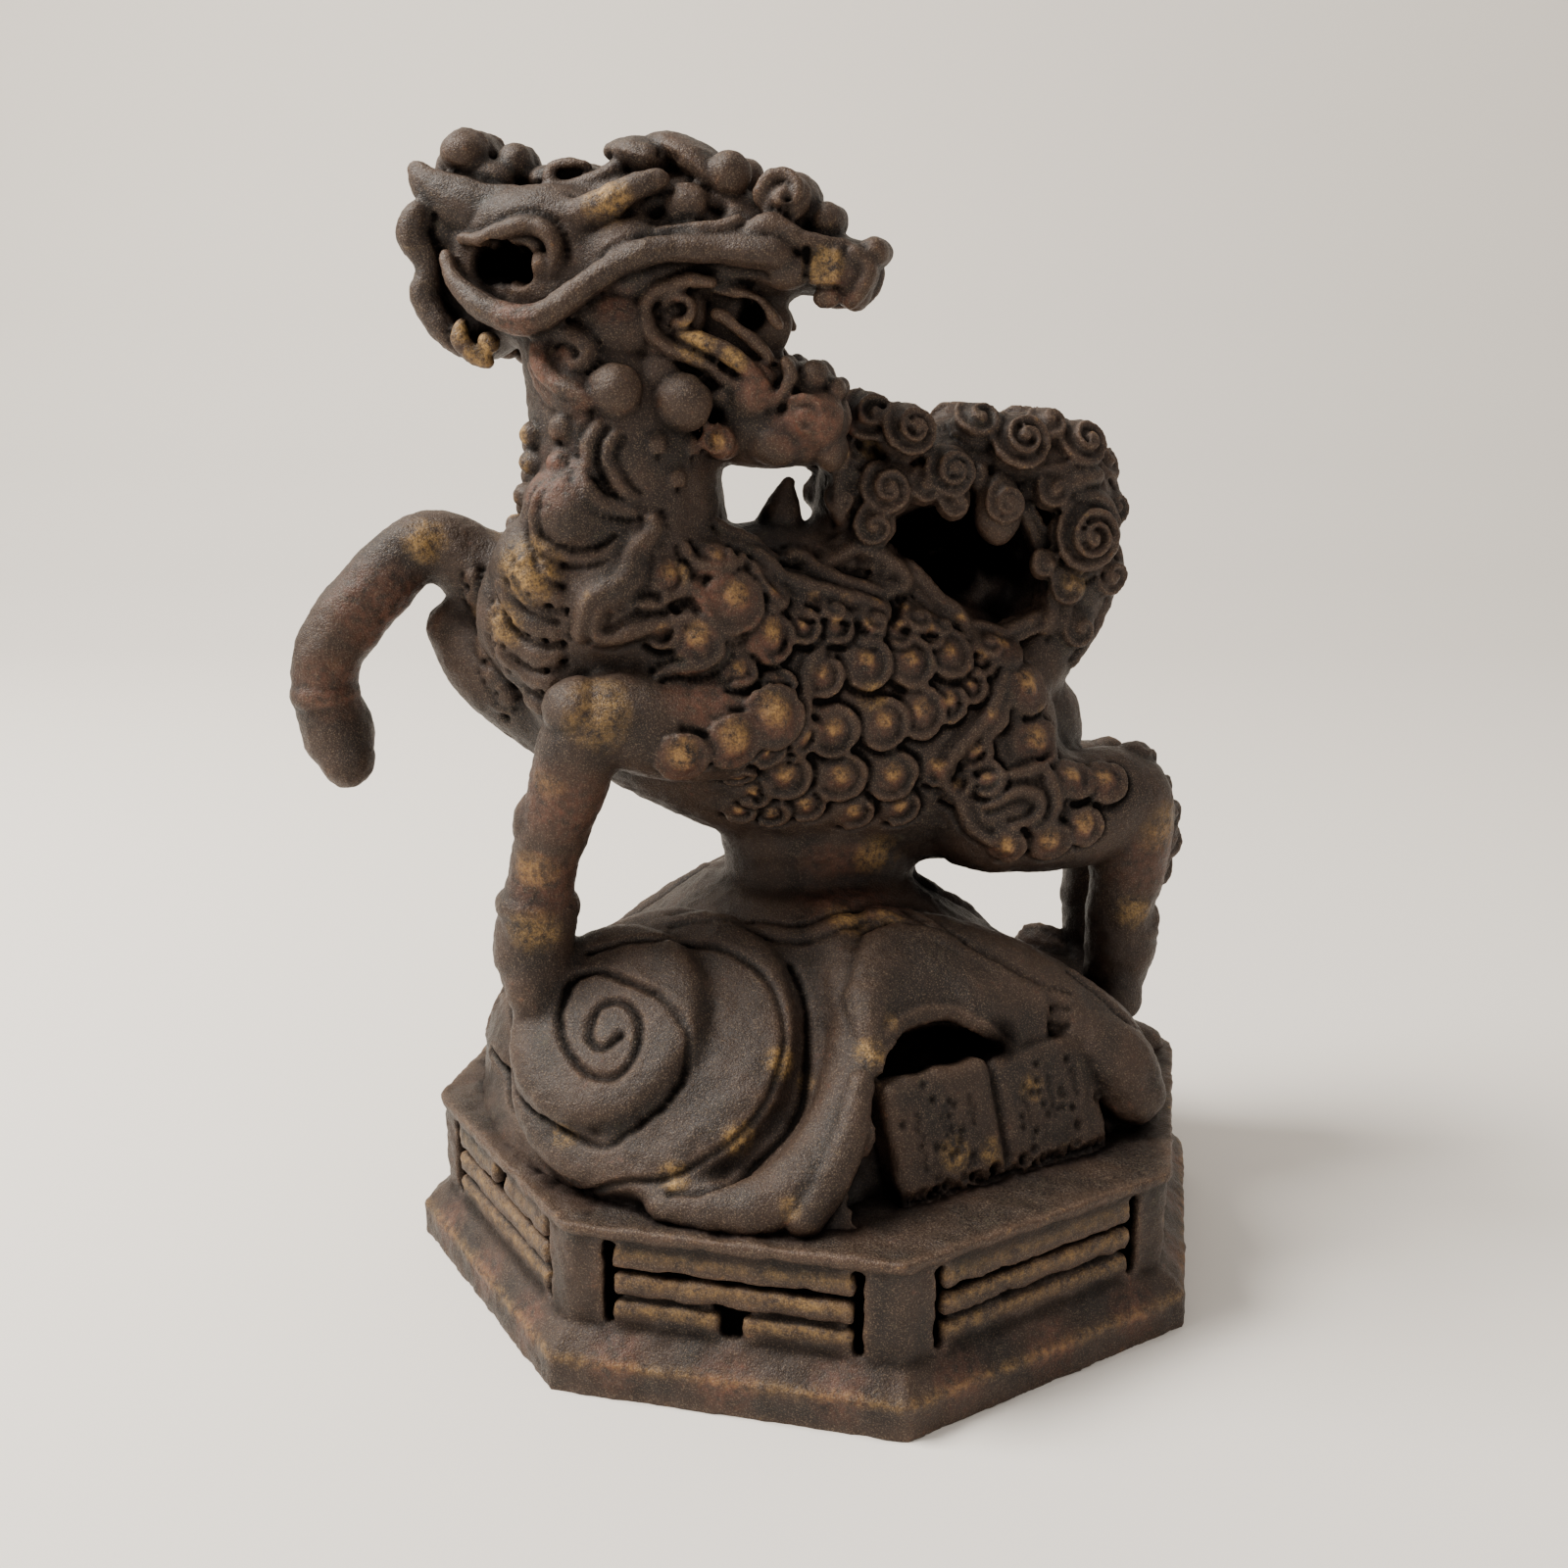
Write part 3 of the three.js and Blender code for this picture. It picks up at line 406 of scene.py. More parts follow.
SNOUT = [(-18, 115.5, 7.2), (-8, 116, 4.4), (0, 115.8, 3.5), (5.2, 115, 3.1)]
CREST = [(-27, 119.6, 4.8), (-18, 120.8, 4.8), (-9, 120, 4), (-2, 118, 3)]
JAW = [(-20, 106, 8), (-12, 103.4, 5.8), (-4, 101.6, 4.4), (0.5, 102.2, 3.4)]
CHIN = [(-13, 100.4, 4.6), (-6, 99, 4.9), (0.2, 98.8, 4.6)]
NAPE = [(-39.4, 120, 4.4), (-40, 114, 3.2), (-36.6, 109, 3.6)]

ball(volumes, middle(-24.5, 113.5), (12.5, 9.5, 8.6), UP, BALL_FINE)
ball(volumes, middle(-34, 116.5), (6.5, 7.6, 7.6), UP, BALL_FINE)
for side in BOTH_SIDES:
    ball(volumes, Vector((-27.5, HEAD_MIDDLE - 5 * side, 119.4)), (8.5, 4.4, 4.4), UP, BALL_FINE)
limb(volumes, on_middle(SNOUT), BACK, 1.35)
ball(volumes, middle(5.4, 112.8), (2, 3.6, 2.3), UP, BALL_FINE)
limb(volumes, on_middle(CREST), BACK, 1.25)
limb(volumes, on_middle(JAW), BACK, 1.1)
limb(volumes, on_middle(CHIN), BACK, 1)
ball(volumes, middle(-8.4, 109.4), (7.4, 3.4, 4.8), UP, BALL_FINE)
limb(volumes, on_middle(NAPE), BACK, 1.5)
print("with skull", len(volumes.verts), "points")

# %% [markdown]
# ## The clouds' volumes
#
# The clouds are a round heap with one great scroll that rolls out at the front left, a wave that
# falls beside it and a tongue at the right. A cloth draped on the heap could give such sheets,
# but they are cast thick and round. So a profile is spun into the heap and the scroll's slabs,
# and limbs make the waves.

# %% Turned forms
HEAP_TURNS = 48
DISC_PROFILE = [
    (0, -1), (0.97, -1), (1, -0.3), (0.985, -0.12), (0.93, 0), (0.8, 0.07), (0.5, 0.13), (0, 0.16),
]


def turned(profile, turns=HEAP_TURNS):
    """A closed shape turned about z from a profile of (radius, height)."""
    made = bmesh.new()
    corners = [made.verts.new((radius, 0, height)) for radius, height in profile]
    edges = [made.edges.new(pair) for pair in zip(corners, corners[1:])]
    bmesh.ops.spin(
        made, geom=corners + edges, cent=(0, 0, 0), axis=(0, 0, 1), angle=math.tau, steps=turns,
        use_merge=True,
    )
    bmesh.ops.remove_doubles(made, verts=made.verts, dist=0.02)
    return made


def disc(form, centre, out, radii, thick):
    """A round-edged slab that faces out, with its face at centre."""
    turn = Vector(out).to_track_quat("Z", "Y").to_matrix().to_4x4()
    placing = Matrix.Translation(centre) @ turn @ Matrix.Diagonal((*radii, thick, 1))
    wax = turned(DISC_PROFILE)
    bmesh.ops.transform(wax, matrix=placing, verts=wax.verts)
    add(form, wax)


# %% The heap and the great scroll
CLOUD_PROFILE = [(0, 17.5), (41, 17.5), (38.6, 21), (31, 28.5), (22, 37.5), (12, 44.5), (0, 46)]
HEAP_SHIFT = -2
SCROLL_OUT = Vector((-0.1, -0.67, 0.74)).normalized()
SCROLL_CENTRE = Vector((-14, -28, 33))
SCROLL_SLABS = (
    # shift in x and z, radii, lift, thickness
    (3.5, -2.5, (20.5, 20), -3.4, 12),
    (0.5, 0, (16.8, 17.4), 0.2, 8),
    (-4, 1, (11.3, 12.3), 2.3, 5),
)

heap = turned(CLOUD_PROFILE)
bmesh.ops.translate(heap, verts=heap.verts, vec=(HEAP_SHIFT, 0, 0))
add(volumes, heap)
for shift_x, shift_z, radii, lift, thick in SCROLL_SLABS:
    centre = SCROLL_CENTRE + Vector((shift_x, 0, shift_z)) + SCROLL_OUT * lift
    disc(volumes, centre, SCROLL_OUT, radii, thick)
print("with the heap", len(volumes.verts), "points")

# %% Waves and the back's scroll
FRONT_WAVE = [(3, -12, 42, 3.4), (10, -23, 35, 4), (9.5, -32, 27, 4), (3, -39, 21, 3.4), (-8, -40, 20, 2.2)]
TONGUE = [(9, -9, 41, 3), (22, -6, 36, 4.5), (34, -4, 28, 5), (38.6, -3, 21, 4)]
TONGUE_OUT = Vector((0, -1, 0.3)).normalized()
BACK_WAVE = [(8, 5, 41, 3), (20, 10, 31, 4), (32, 14, 21.5, 4), (40, 17, 18, 3)]
BACK_OUT = Vector((-0.35, 0.75, 0.55)).normalized()
BACK_CENTRE = Vector((-14, 27, 28))

limb(volumes, FRONT_WAVE, Vector((0, -0.6, 0.8)), 0.8)
ball(volumes, Vector((18.5, -9, 22)), (16.5, 14, 14.5), UP, BALL_FINE)
limb(volumes, TONGUE, TONGUE_OUT, 1.5)
disc(volumes, BACK_CENTRE, BACK_OUT, (14, 12.6), 8)
disc(volumes, BACK_CENTRE + BACK_OUT * 1.6, BACK_OUT, (8.5, 7.6), 8)
limb(volumes, BACK_WAVE, BACK)
ball(volumes, Vector((25, 25, 19.5)), (11, 9, 8), UP, BALL_FINE)
ball(volumes, Vector((-30, -7, 21)), (11, 14, 13), UP, BALL_FINE)
print("all volumes", len(volumes.verts), "points")

# %% [markdown]
# ## The bay behind the tablets
#
# The tablets of the real casting lean in a hollow under an arched sheet of cloud. A boolean cut
# would leave sharp edges. Instead the core's points are pushed straight back, as with a thumb in
# wax, a little behind the tablets and deeper under the arch.

# %% The core's skin
CORE_GRAIN = 0.7
CORE_ROUNDS = 5
core_mesh = fused(volumes, CORE_GRAIN, CORE_ROUNDS)

# %% The bay
TABLET_OUT = Vector((0.62, -0.66, 0.34)).normalized()
TABLET_FOOT = Vector((27.2, -24.1, 17.9))
TABLET_ACROSS = UP.cross(TABLET_OUT).normalized()
TABLET_RISE = TABLET_OUT.cross(TABLET_ACROSS)
BAY_HALF = 16.4
BAY_FOOT_HALF = 20
BAY_FOOT_RISE = 7
BAY_RISES = (-3, 15.2)
BAY_BACK = -4.2
ARCH_MIDDLE = (-5.5, 13)
ARCH_HALF = (9, 6.4)
ARCH_BACK = -9.5

for point in core_mesh.vertices:
    gap = point.co - TABLET_FOOT
    across = gap.dot(TABLET_ACROSS)
    rise = gap.dot(TABLET_RISE)
    lift = gap.dot(TABLET_OUT)
    back = lift
    half = BAY_FOOT_HALF if rise < BAY_FOOT_RISE and across < 0 else BAY_HALF
    if abs(across) < half and BAY_RISES[0] < rise < BAY_RISES[1]:
        back = BAY_BACK
    arch = ((across - ARCH_MIDDLE[0]) / ARCH_HALF[0]) ** 2 + ((rise - ARCH_MIDDLE[1]) / ARCH_HALF[1]) ** 2
    if arch < 1 and rise > ARCH_MIDDLE[1]:
        back = ARCH_BACK * (1 - arch**3)
    if lift > back:
        point.co -= TABLET_OUT * (lift - back)

core_form = bmesh.new()
core_form.from_mesh(core_mesh)
core_skin = BVHTree.FromBMesh(core_form)
core_form.free()
print("core", len(core_mesh.vertices), "points")

# %% [markdown]
# ## Pressing wax onto the core
#
# A carver lays each lock and scale on the body's surface. Each could be placed freely in space,
# but it would float or sink where the body swells. So its places are written in the animal's own
# frame and moved to the nearest point of the core. What is on the seen flank is made on the other
# one too. A low skirt under each strand melts it into its ground, and a groove on either side
# sets it off, as the real carving tool did.

# %% Pressing
SCORE_REACH = 0.7
SCORE_DEPTH = 0.28
SKIRT = 1.9
SKIRT_TALL = 0.42
scores = []


def score_beside(places, widths, outs):
    """Remember a groove along either side of a strand, to be cut once all is fused."""
    for index in range(1, len(places) - 1):
        ahead = (places[index + 1] - places[index - 1]).normalized()
        across = ahead.cross(outs[index])
        for side in BOTH_SIDES:
            place = places[index] + across * side * (widths[index] + SCORE_REACH * 0.6)
            scores.append((place, SCORE_REACH, SCORE_DEPTH))


def press(place):
    """The nearest point of the core's skin, and the way the skin faces there."""
    return core_skin.find_nearest(place)[:2]


def pressed(form, knots, tall=1.0, sink=0.35, place_of=body):
    """A strand on the skin along knots of (along, out, up, half width), sunk by part of its height."""
    places = []
    widths = []
    outs = []
    for first, second, third, width in smooth_line(knots):
        spot, normal = press(place_of(first, second, third))
        place = spot - normal * width * tall * sink
        if places and (place - places[-1]).length < STEP / 4:
            continue
        places.append(place)
        widths.append(width)
        outs.append(normal)
    strand(form, places, widths, outs, tall)
    strand(form, places, [width * SKIRT for width in widths], outs, tall * SKIRT_TALL / SKIRT)
    score_beside(places, widths, outs)


def upright(x, y, z):
    """A place given in the object's own directions."""
    return Vector((x, y, z))


def both_flanks(form, knots, tall=1.0, sink=0.35):
    """A pressed strand, and its twin on the other flank."""
    pressed(form, knots, tall, sink)
    pressed(form, [(along, -out, *rest) for along, out, *rest in knots], tall, sink)


def even(points, width):
    """A half width for each point of a line, thinner towards its ends."""
    last = len(points) - 1
    swell = [0.6 + 0.4 * math.sin(math.pi * index / last) for index in range(len(points))]
    return [(*point, width * share) for point, share in zip(points, swell)]


# %% [markdown]
# ## Curls
#
# Mane, tail and clouds end in curls. A flat spiral on the skin would be simpler, but the real ones
# stand out like snails. So each is a low dome with a strand wound in on it, which climbs the dome
# as it winds.

# %% Curls
def curl(form, centre, out, radius, rise, turns, thick, start=0, hand=1, fat=0.98):
    """A dome that faces out, with a strand that winds in from its rim to its top."""
    out = Vector(out).normalized()
    across = out.orthogonal() if abs(out.z) > 0.95 else UP.cross(out)
    across.normalize()
    level = out.cross(across)
    ball(form, Vector(centre), (radius * fat, radius * fat, rise * 0.9), out)
    steps = max(8, int(turns * 14))
    places = []
    widths = []
    for step in range(steps + 1):
        share = step / steps
        angle = math.radians(start) + hand * share * turns * math.tau
        reach = radius * (1 - 0.86 * share**0.85)
        climb = rise * math.sqrt(max(0, 1 - (reach / radius / 1.02) ** 2))
        flat_part = across * math.cos(angle) * reach + level * math.sin(angle) * reach
        places.append(Vector(centre) + flat_part + out * climb)
        widths.append(thick * (1 - 0.45 * share))
    strand(form, places, widths, [out] * len(places))
    ball(form, Vector(centre) + out * rise, (thick, thick, thick * 0.8), out, 1)


def both_curls(form, centre, out, radius, rise, turns, thick, start=0, hand=1):
    """A curl at a place in the animal's frame, and its twin on the other flank."""
    along, aside, height = centre
    ahead, outward, upward = out
    near_out = body(ahead, outward, upward)
    curl(form, body(along, aside, height), near_out, radius, rise, turns, thick, start, hand)
    twin_out = body(ahead, -outward, upward)
    curl(form, body(along, -aside, height), twin_out, radius, rise, turns, thick, 180 - start, -hand)


# %% [markdown]
# ## Scales
#
# Each scale of the flank is a worn boss with a raised rim behind it, like a fish scale that laps
# towards the tail. A repeated flat pattern could be wrapped round the body, but the real scales
# differ in size from belly to back. So each is pressed on by itself. The bosses catch the hand,
# so their tops have lost the patina and show gold, and these places are noted for the finish.

# %% One scale
RIM_STEPS = 26
gilt_spots = []
copper_spots = []


def scale(form, centre, boss, reach, facing, sweep, rim):
    """A boss and the rim round it. facing is the rim's middle, in degrees up from the tail's way."""
    for side in BOTH_SIDES:
        along, out, height = centre
        spot, normal = press(body(along, out * side, height))
        ball(form, spot, (reach * 1.15, reach * 1.15, boss * 0.42), normal)
        ball(form, spot + normal * boss * 0.12, (boss, boss, boss * 0.55), normal)
        gilt_spots.append((spot + normal * boss * 0.7 + UP * boss * 0.5, boss * 1.1))
        copper_spots.append((spot + normal * boss * 0.4, boss * 1.7))
        back = ALONG - normal * ALONG.dot(normal)
        back.normalize()
        rise = normal.cross(back)
        if rise.z < 0:
            rise = -rise
        places = []
        outs = []
        for step in range(RIM_STEPS + 1):
            angle = math.radians(facing + sweep * (2 * step / RIM_STEPS - 1))
            loose = spot + (back * math.cos(angle) + rise * math.sin(angle)) * reach
            place, way = press(loose)
            places.append(place + way * rim * 0.5)
            outs.append(way)
            scores.append((place + (place - spot).normalized() * rim * 1.9, 0.75, 0.4))
            scores.append((place - (place - spot).normalized() * rim * 1.6, 0.6, 0.25))
        strand(form, places, [rim * 1.2] * len(places), outs, 1.15)


# %% Scales of one size
FLANK_SCALES = [
    (1.5, 12, 72.7), (7, 11, 72.4), (12.4, 10, 73),
    (-2.9, 13, 65.4), (3.3, 13, 65.8), (8, 13, 66.8),
    (-8.1, 12, 60.3), (-1.6, 12, 59.9), (4.6, 12, 59.6),
]
EDGE_SCALES = [
    (-5.5, 12, 55.9), (0.5, 11, 55), (6, 12, 55), (10, 12, 60.2), (-3.9, 12.4, 71.6), (11.5, 12, 67.6),
]

form = bmesh.new()
form.from_mesh(core_mesh)
for centre in FLANK_SCALES:
    scale(form, centre, 1.2, 2.75, -25, 115, 0.45)
for centre in EDGE_SCALES:
    scale(form, centre, 0.9, 2.2, -35, 80, 0.4)
print("scales", len(FLANK_SCALES + EDGE_SCALES), "on each flank")

# %% Scales that differ in size
HAUNCH_SCALES = [
    ((21.8, 10, 68.2), 1.7), ((22.7, 12, 62), 1.8), ((26.4, 13, 57), 1.4), ((30.8, 13, 56.2), 1.5),
    ((27.3, 14, 52.4), 1.3), ((23.2, 14, 51.3), 1.4), ((18.3, 14, 51), 1.2), ((19.9, 9, 74.2), 1.5),
]
SHOULDER_SCALES = [
    ((-13.9, 12.5, 80.4), 1.8), ((-9.5, 12.5, 76.3), 1.6), ((-13.9, 12.5, 72.5), 1.1),
    ((-20.8, 12.5, 83.3), 1.1),
    ((-18.3, 12.5, 76.4), 1.5), ((-15.5, 12, 85.6), 1),
]
FOREARM_SCALES = [((-21.1, 14, 65.6), 1.9), ((-15.9, 14, 66), 2.1), ((-10.9, 14, 67.6), 2.4)]
SCALE_GROUPS = (
    # places with their boss, reach as a share of it, facing, sweep, rim
    (HAUNCH_SCALES, 1.75, -20, 75, 0.42),
    (SHOULDER_SCALES, 1.75, -40, 80, 0.42),
    (FOREARM_SCALES, 1.4, 0, 85, 0.5),
)

for group, share, facing, sweep, rim in SCALE_GROUPS:
    for centre, boss in group:
        scale(form, centre, boss, boss * share, facing, sweep, rim)
    print("scales", len(group), "on each flank")

# %% Small scales between the large ones
SMALL_ROWS = 8
SMALL_COLUMNS = 10
SMALL_PITCH = (4.1, 4)
SMALL_START = (-22, 53.6)
SMALL_CLEAR = 3.4
big_scales = FLANK_SCALES + EDGE_SCALES + [centre for centre, boss in HAUNCH_SCALES + SHOULDER_SCALES]


def is_bare(along, height):
    """Whether a place lies over the foreleg, the haunch or the belly, where no small scales are."""
    return along < -14 and height < 76 or along > 17 and height < 62 or along > 9 and height < 56


count = 0
for row in range(SMALL_ROWS):
    height = SMALL_START[1] + row * SMALL_PITCH[1]
    for column in range(SMALL_COLUMNS):
        along = SMALL_START[0] + (column + (row % 2) / 2) * SMALL_PITCH[0]
        if is_bare(along, height):
            continue
        spot = press(body(along, 12, height))[0]
        if all((spot - press(body(*other))[0]).length > SMALL_CLEAR for other in big_scales):
            scale(form, (along, 12, height), 0.7, 1.9, -30, 100, 0.4)
            count += 1
print("small scales", count, "on each flank")

# %% [markdown]
# ## Flames on haunch and shoulder
#
# Ridges like curling flames mark the haunch and the shoulder of such animals. They could be cut
# out of a thicker skin, but on the real one they are laid on. So each is one strand, along points
# read off the figure in the animal's frame.

# %% Haunch
HAUNCH_EDGE = [
    (19.9, 9.3, 72), (18.9, 10.9, 69.4), (17.7, 11.8, 67), (15.8, 13.6, 64.9), (13.8, 14, 62.9),
    (11.8, 13.3, 60.7), (10.9, 13.8, 59), (11.9, 13.3, 56.9), (13.2, 13.2, 54.6), (14.8, 13.3, 52.5),
    (17.5, 14, 51.2),
]
HAUNCH_INNER = [
    (21.9, 7.4, 73.4), (20.1, 10.4, 69.6), (19.1, 11.9, 67), (17.7, 13, 64.7), (16, 12.4, 62.4),
    (13.9, 12.6, 61.1),
]
HAUNCH_BAND = [
    (13.6, 13.4, 58.3), (16.3, 13.8, 58.6), (19.8, 14, 58.8), (22.7, 13, 58.7), (23.9, 14.4, 57.1),
    (24, 14.8, 55.2), (22.9, 14.8, 53.4), (20.4, 14.9, 52.5),
]
HAUNCH_HOOK = [
    (18.1, 14.8, 53), (21.2, 14.9, 54), (21.9, 14.9, 55.6), (20.2, 15, 57.1), (18.1, 14.4, 56.6),
    (15.6, 13.5, 55.1),
]
for line, width in ((HAUNCH_EDGE, 0.95), (HAUNCH_INNER, 0.75), (HAUNCH_BAND, 0.75), (HAUNCH_HOOK, 0.7)):
    both_flanks(form, even(line, width * 1.15), 1.15, 0.1)
print("marks", len(scores))

# %% Shoulder
SHOULDER_FLAME = [
    (-22.5, 12, 90.2), (-22.2, 12, 88.3), (-24.5, 12, 86.5), (-25.5, 12, 84), (-26.9, 12, 82.5),
    (-29.8, 12, 81), (-31, 12, 78.2), (-31.8, 12, 75.6),
]
FLAME_LOOP = [
    (-22.6, 12.5, 88.4), (-23.8, 12.5, 85.9), (-24.4, 12.5, 83.1), (-26.7, 12.5, 81.3), (-28.6, 12.5, 80.4),
    (-29.5, 12.5, 78.5), (-29.4, 12.5, 76.9), (-27.4, 12.5, 76.5), (-24.8, 12.5, 78), (-22.2, 12.5, 78.5),
    (-18.9, 12.5, 79.3),
]
FLAME_MIDDLE = [
    (-24.8, 12.5, 80.6), (-22.1, 12.5, 80.4), (-19.8, 12.5, 81.6), (-18.8, 12.5, 82.2), (-17.5, 12.5, 80.9),
    (-16.6, 12.5, 78.6), (-14.9, 12.5, 76.9), (-12.9, 12.5, 77.4), (-11.2, 12.5, 79),
]
FLAME_LOW = [
    (-29.5, 13, 75.7), (-26.6, 13, 76.5), (-24.3, 13, 77.4), (-21, 13, 78.5), (-19, 13, 78.8),
    (-16.4, 13, 77), (-15.7, 13, 75), (-17.7, 13, 73.5), (-20.4, 13, 73.3), (-23.1, 13, 73.4),
]
LEAF = [
    (-18.5, 11.5, 86.9), (-17.9, 11.5, 84.7), (-15.2, 11.5, 83.9), (-12.9, 11.5, 84.8),
    (-10.8, 11.5, 86.7),
]
SMALL_LEAF = [
    (-11.2, 10.5, 85), (-10.6, 10.5, 82), (-8.2, 10.5, 79.6), (-7.1, 10.5, 80.9), (-7.8, 10.5, 83.5),
]
ELBOW = [(-1.2, 11, 76.2), (-4.1, 12, 74.4), (-5.8, 12.5, 71.2), (-6.5, 13, 67.8), (-6.8, 13, 63.7)]
both_flanks(form, even(SHOULDER_FLAME, 1.45), 1, 0.1)
for line in (FLAME_LOOP, FLAME_MIDDLE, FLAME_LOW, LEAF, SMALL_LEAF):
    both_flanks(form, even(line, 0.9), 1.2, 0.1)
both_flanks(form, even(ELBOW, 1), 1)
print("marks", len(scores))

# %% [markdown]
# ## Chest and neck
#
# The breast is armoured with overlapping plates, and the throat has beads and folds. Plates could
# be separate shells. They are already balls in the core, so only their lower edges are laid on,
# each with a deep groove under it that throws the dark line seen on the real one.

# %% Chest plates
PLATE_EDGES = [
    [(-36.4, 9, 85.6), (-35.6, 9, 82.8), (-33.6, 9, 81.2), (-31.4, 9, 81)],
    [(-39.4, 6, 82.7), (-37.8, 6, 79.7), (-36, 7, 77.9), (-34, 8, 77.2), (-31.8, 8, 77.4)],
    [(-39.5, 5, 80.1), (-38.3, 5, 76.6), (-36.1, 6, 74.6), (-33.8, 7, 74.2), (-31.8, 8, 74.8)],
    [(-39.2, 4, 76.6), (-37.8, 4, 73.4), (-35.9, 5, 71.6), (-34.2, 6, 71.4), (-32.4, 7, 72.2)],
    [(-38.4, 3, 73), (-37, 3, 70.4), (-35.2, 4, 68.8), (-33.2, 5, 68.6)],
]
PLATE_UNDER = 1.3

for edge in PLATE_EDGES:
    both_flanks(form, even(edge, 1.3), 0.7, 0.1)
    for along, out, height in edge:
        for side in BOTH_SIDES:
            spot, normal = press(body(along, out * side, height - PLATE_UNDER))
            scores.append((spot, 1, 0.6))
print("chest plates", len(PLATE_EDGES), "on each flank")

# %% Throat
NECK_BEADS = [(-35, 97.9, 1.9), (-35.1, 94.9, 1.9), (-35.3, 91.6, 2), (-35.6, 88, 1.6)]
THROAT_OUTER = [
    (-27.4, 9, 99.5), (-29.4, 10, 97.1), (-29.5, 11, 94.7), (-28.1, 11.5, 92.2), (-25.9, 11.5, 90.6),
    (-23.7, 11.5, 90.2),
]
THROAT_INNER = [
    (-25.6, 9, 98.4), (-27.3, 10.5, 96.1), (-27, 11, 94.3), (-25.2, 11.5, 91.8), (-23.6, 11.5, 91.2),
]
THROAT_DOME = [(-33.8, 8, 92.4), (-34.5, 8, 87.4), (-31.5, 8, 85.7), (-27.6, 9, 85.2), (-25.6, 10, 87.2)]
THROAT_BEADS = [
    (-32, 7, 98.8, 1.5), (-32.4, 7, 95.6, 1.4), (-21.5, 11, 97, 1.2), (-19, 11, 93.4, 1.2),
    (-16.6, 10, 96.8, 1.1),
]

for along, height, size in NECK_BEADS:
    spot, normal = press(body(along, 2, height))
    ball(form, spot, (size * 0.9, size * 0.8, size * 0.9), normal)
    gilt_spots.append((spot + normal * size * 0.7, size * 0.7))
    spot, normal = press(body(along, -3, height - 1.2))
    ball(form, spot, (size * 0.9, size * 0.9, size * 0.6), normal)
for line, width in ((THROAT_OUTER, 0.7), (THROAT_INNER, 0.55), (THROAT_DOME, 0.5)):
    both_flanks(form, even(line, width * 1.3), 0.85, 0.1)
for along, out, height, size in THROAT_BEADS:
    for side in BOTH_SIDES:
        spot, normal = press(body(along, out * side, height))
        ball(form, spot, (size, size, size * 0.6), normal)
        scores.append((spot - UP * size, 0.7, 0.3))
print("beads", 2 * len(NECK_BEADS + THROAT_BEADS))

# %% [markdown]
# ## Spine and tail
#
# Locks like small waves lie along the back, behind one upright spike. The tail rolls over the
# back and is hung with snail curls, round a deep shadow. Hair could be modelled as many fine
# strands, but a caster makes it of a few thick locks, and so do these lists of points. Each
# point of a lock is a place along the animal, out of its flank and up, and a half width.

# %% Spine
SPIKE = [(-5.6, 0, 83, 3.6), (-5, 0, 88, 2.7), (-4.1, 0, 91.9, 0.9)]
SPINE_LOCKS = [
    [
        (10.4, 8.5, 85.6, 0.9), (12.2, 8.5, 84.6, 1.2), (14.9, 8.5, 81.8, 1.3), (16, 8.5, 79.3, 1.1),
        (16.2, 8.5, 77, 0.8), (15.1, 8.5, 76.5, 0.6),
    ],
    [
        (-2.6, 7, 83.2, 0.8), (-1.3, 7, 84, 1), (1.6, 7, 84.8, 1.1), (4.2, 7, 84.7, 1.1),
        (7.2, 7, 83.4, 1.2), (8.5, 7, 81.5, 1.1), (6.9, 7, 80.3, 0.9), (3.6, 7, 81.7, 0.6),
    ],
    [
        (-6.3, 7, 85.7, 0.8), (-3.2, 7, 84.7, 1.1), (-0.9, 7, 81.9, 1.1), (3, 7, 80.5, 1),
        (6.9, 7, 79.4, 0.8),
    ],
    [
        (-11.3, 9, 85.7, 0.7), (-7.9, 9, 83.6, 1), (-3.2, 9, 81.3, 1.1), (1.6, 9, 79.9, 1),
        (5.5, 9, 78.8, 0.7),
    ],
    [(-14, 8, 89, 0.7), (-10.4, 8, 87, 1), (-6.4, 7, 85.4, 0.9)],
    [(16.8, 9, 78, 0.8), (20.2, 9, 77.9, 1), (22.6, 9, 78.1, 1), (24.7, 9, 79.3, 0.7)],
    [
        (22.1, 8, 86.1, 0.9), (22.4, 8, 83.3, 1.1), (24, 8, 80.4, 1.2), (25.7, 8, 78.2, 1.3),
        (25.5, 8, 75.9, 1.1), (24.3, 8, 74.7, 0.7),
    ],
]
SPINE_CURLS = [
    (9.4, 10, 78, 1.9), (3.4, 10.5, 77.4, 1.6), (-1.6, 10, 78.6, 1.4), (18.2, 10, 74.5, 1.9),
    (12.6, 9.8, 77, 1.4),
]

limb(form, in_body(SPIKE), FLANK, 0.75, 12)
for lock in SPINE_LOCKS:
    both_flanks(form, lock, 1.25, -0.1)
for along, out, height, size in SPINE_CURLS:
    for side in BOTH_SIDES:
        spot, normal = press(body(along, out * side, height))
        curl(form, spot, normal, size * 1.25, size * 0.7, 1.3, 0.45, 90, side)
print("locks", len(SPINE_LOCKS), "and curls", len(SPINE_CURLS), "on each flank")

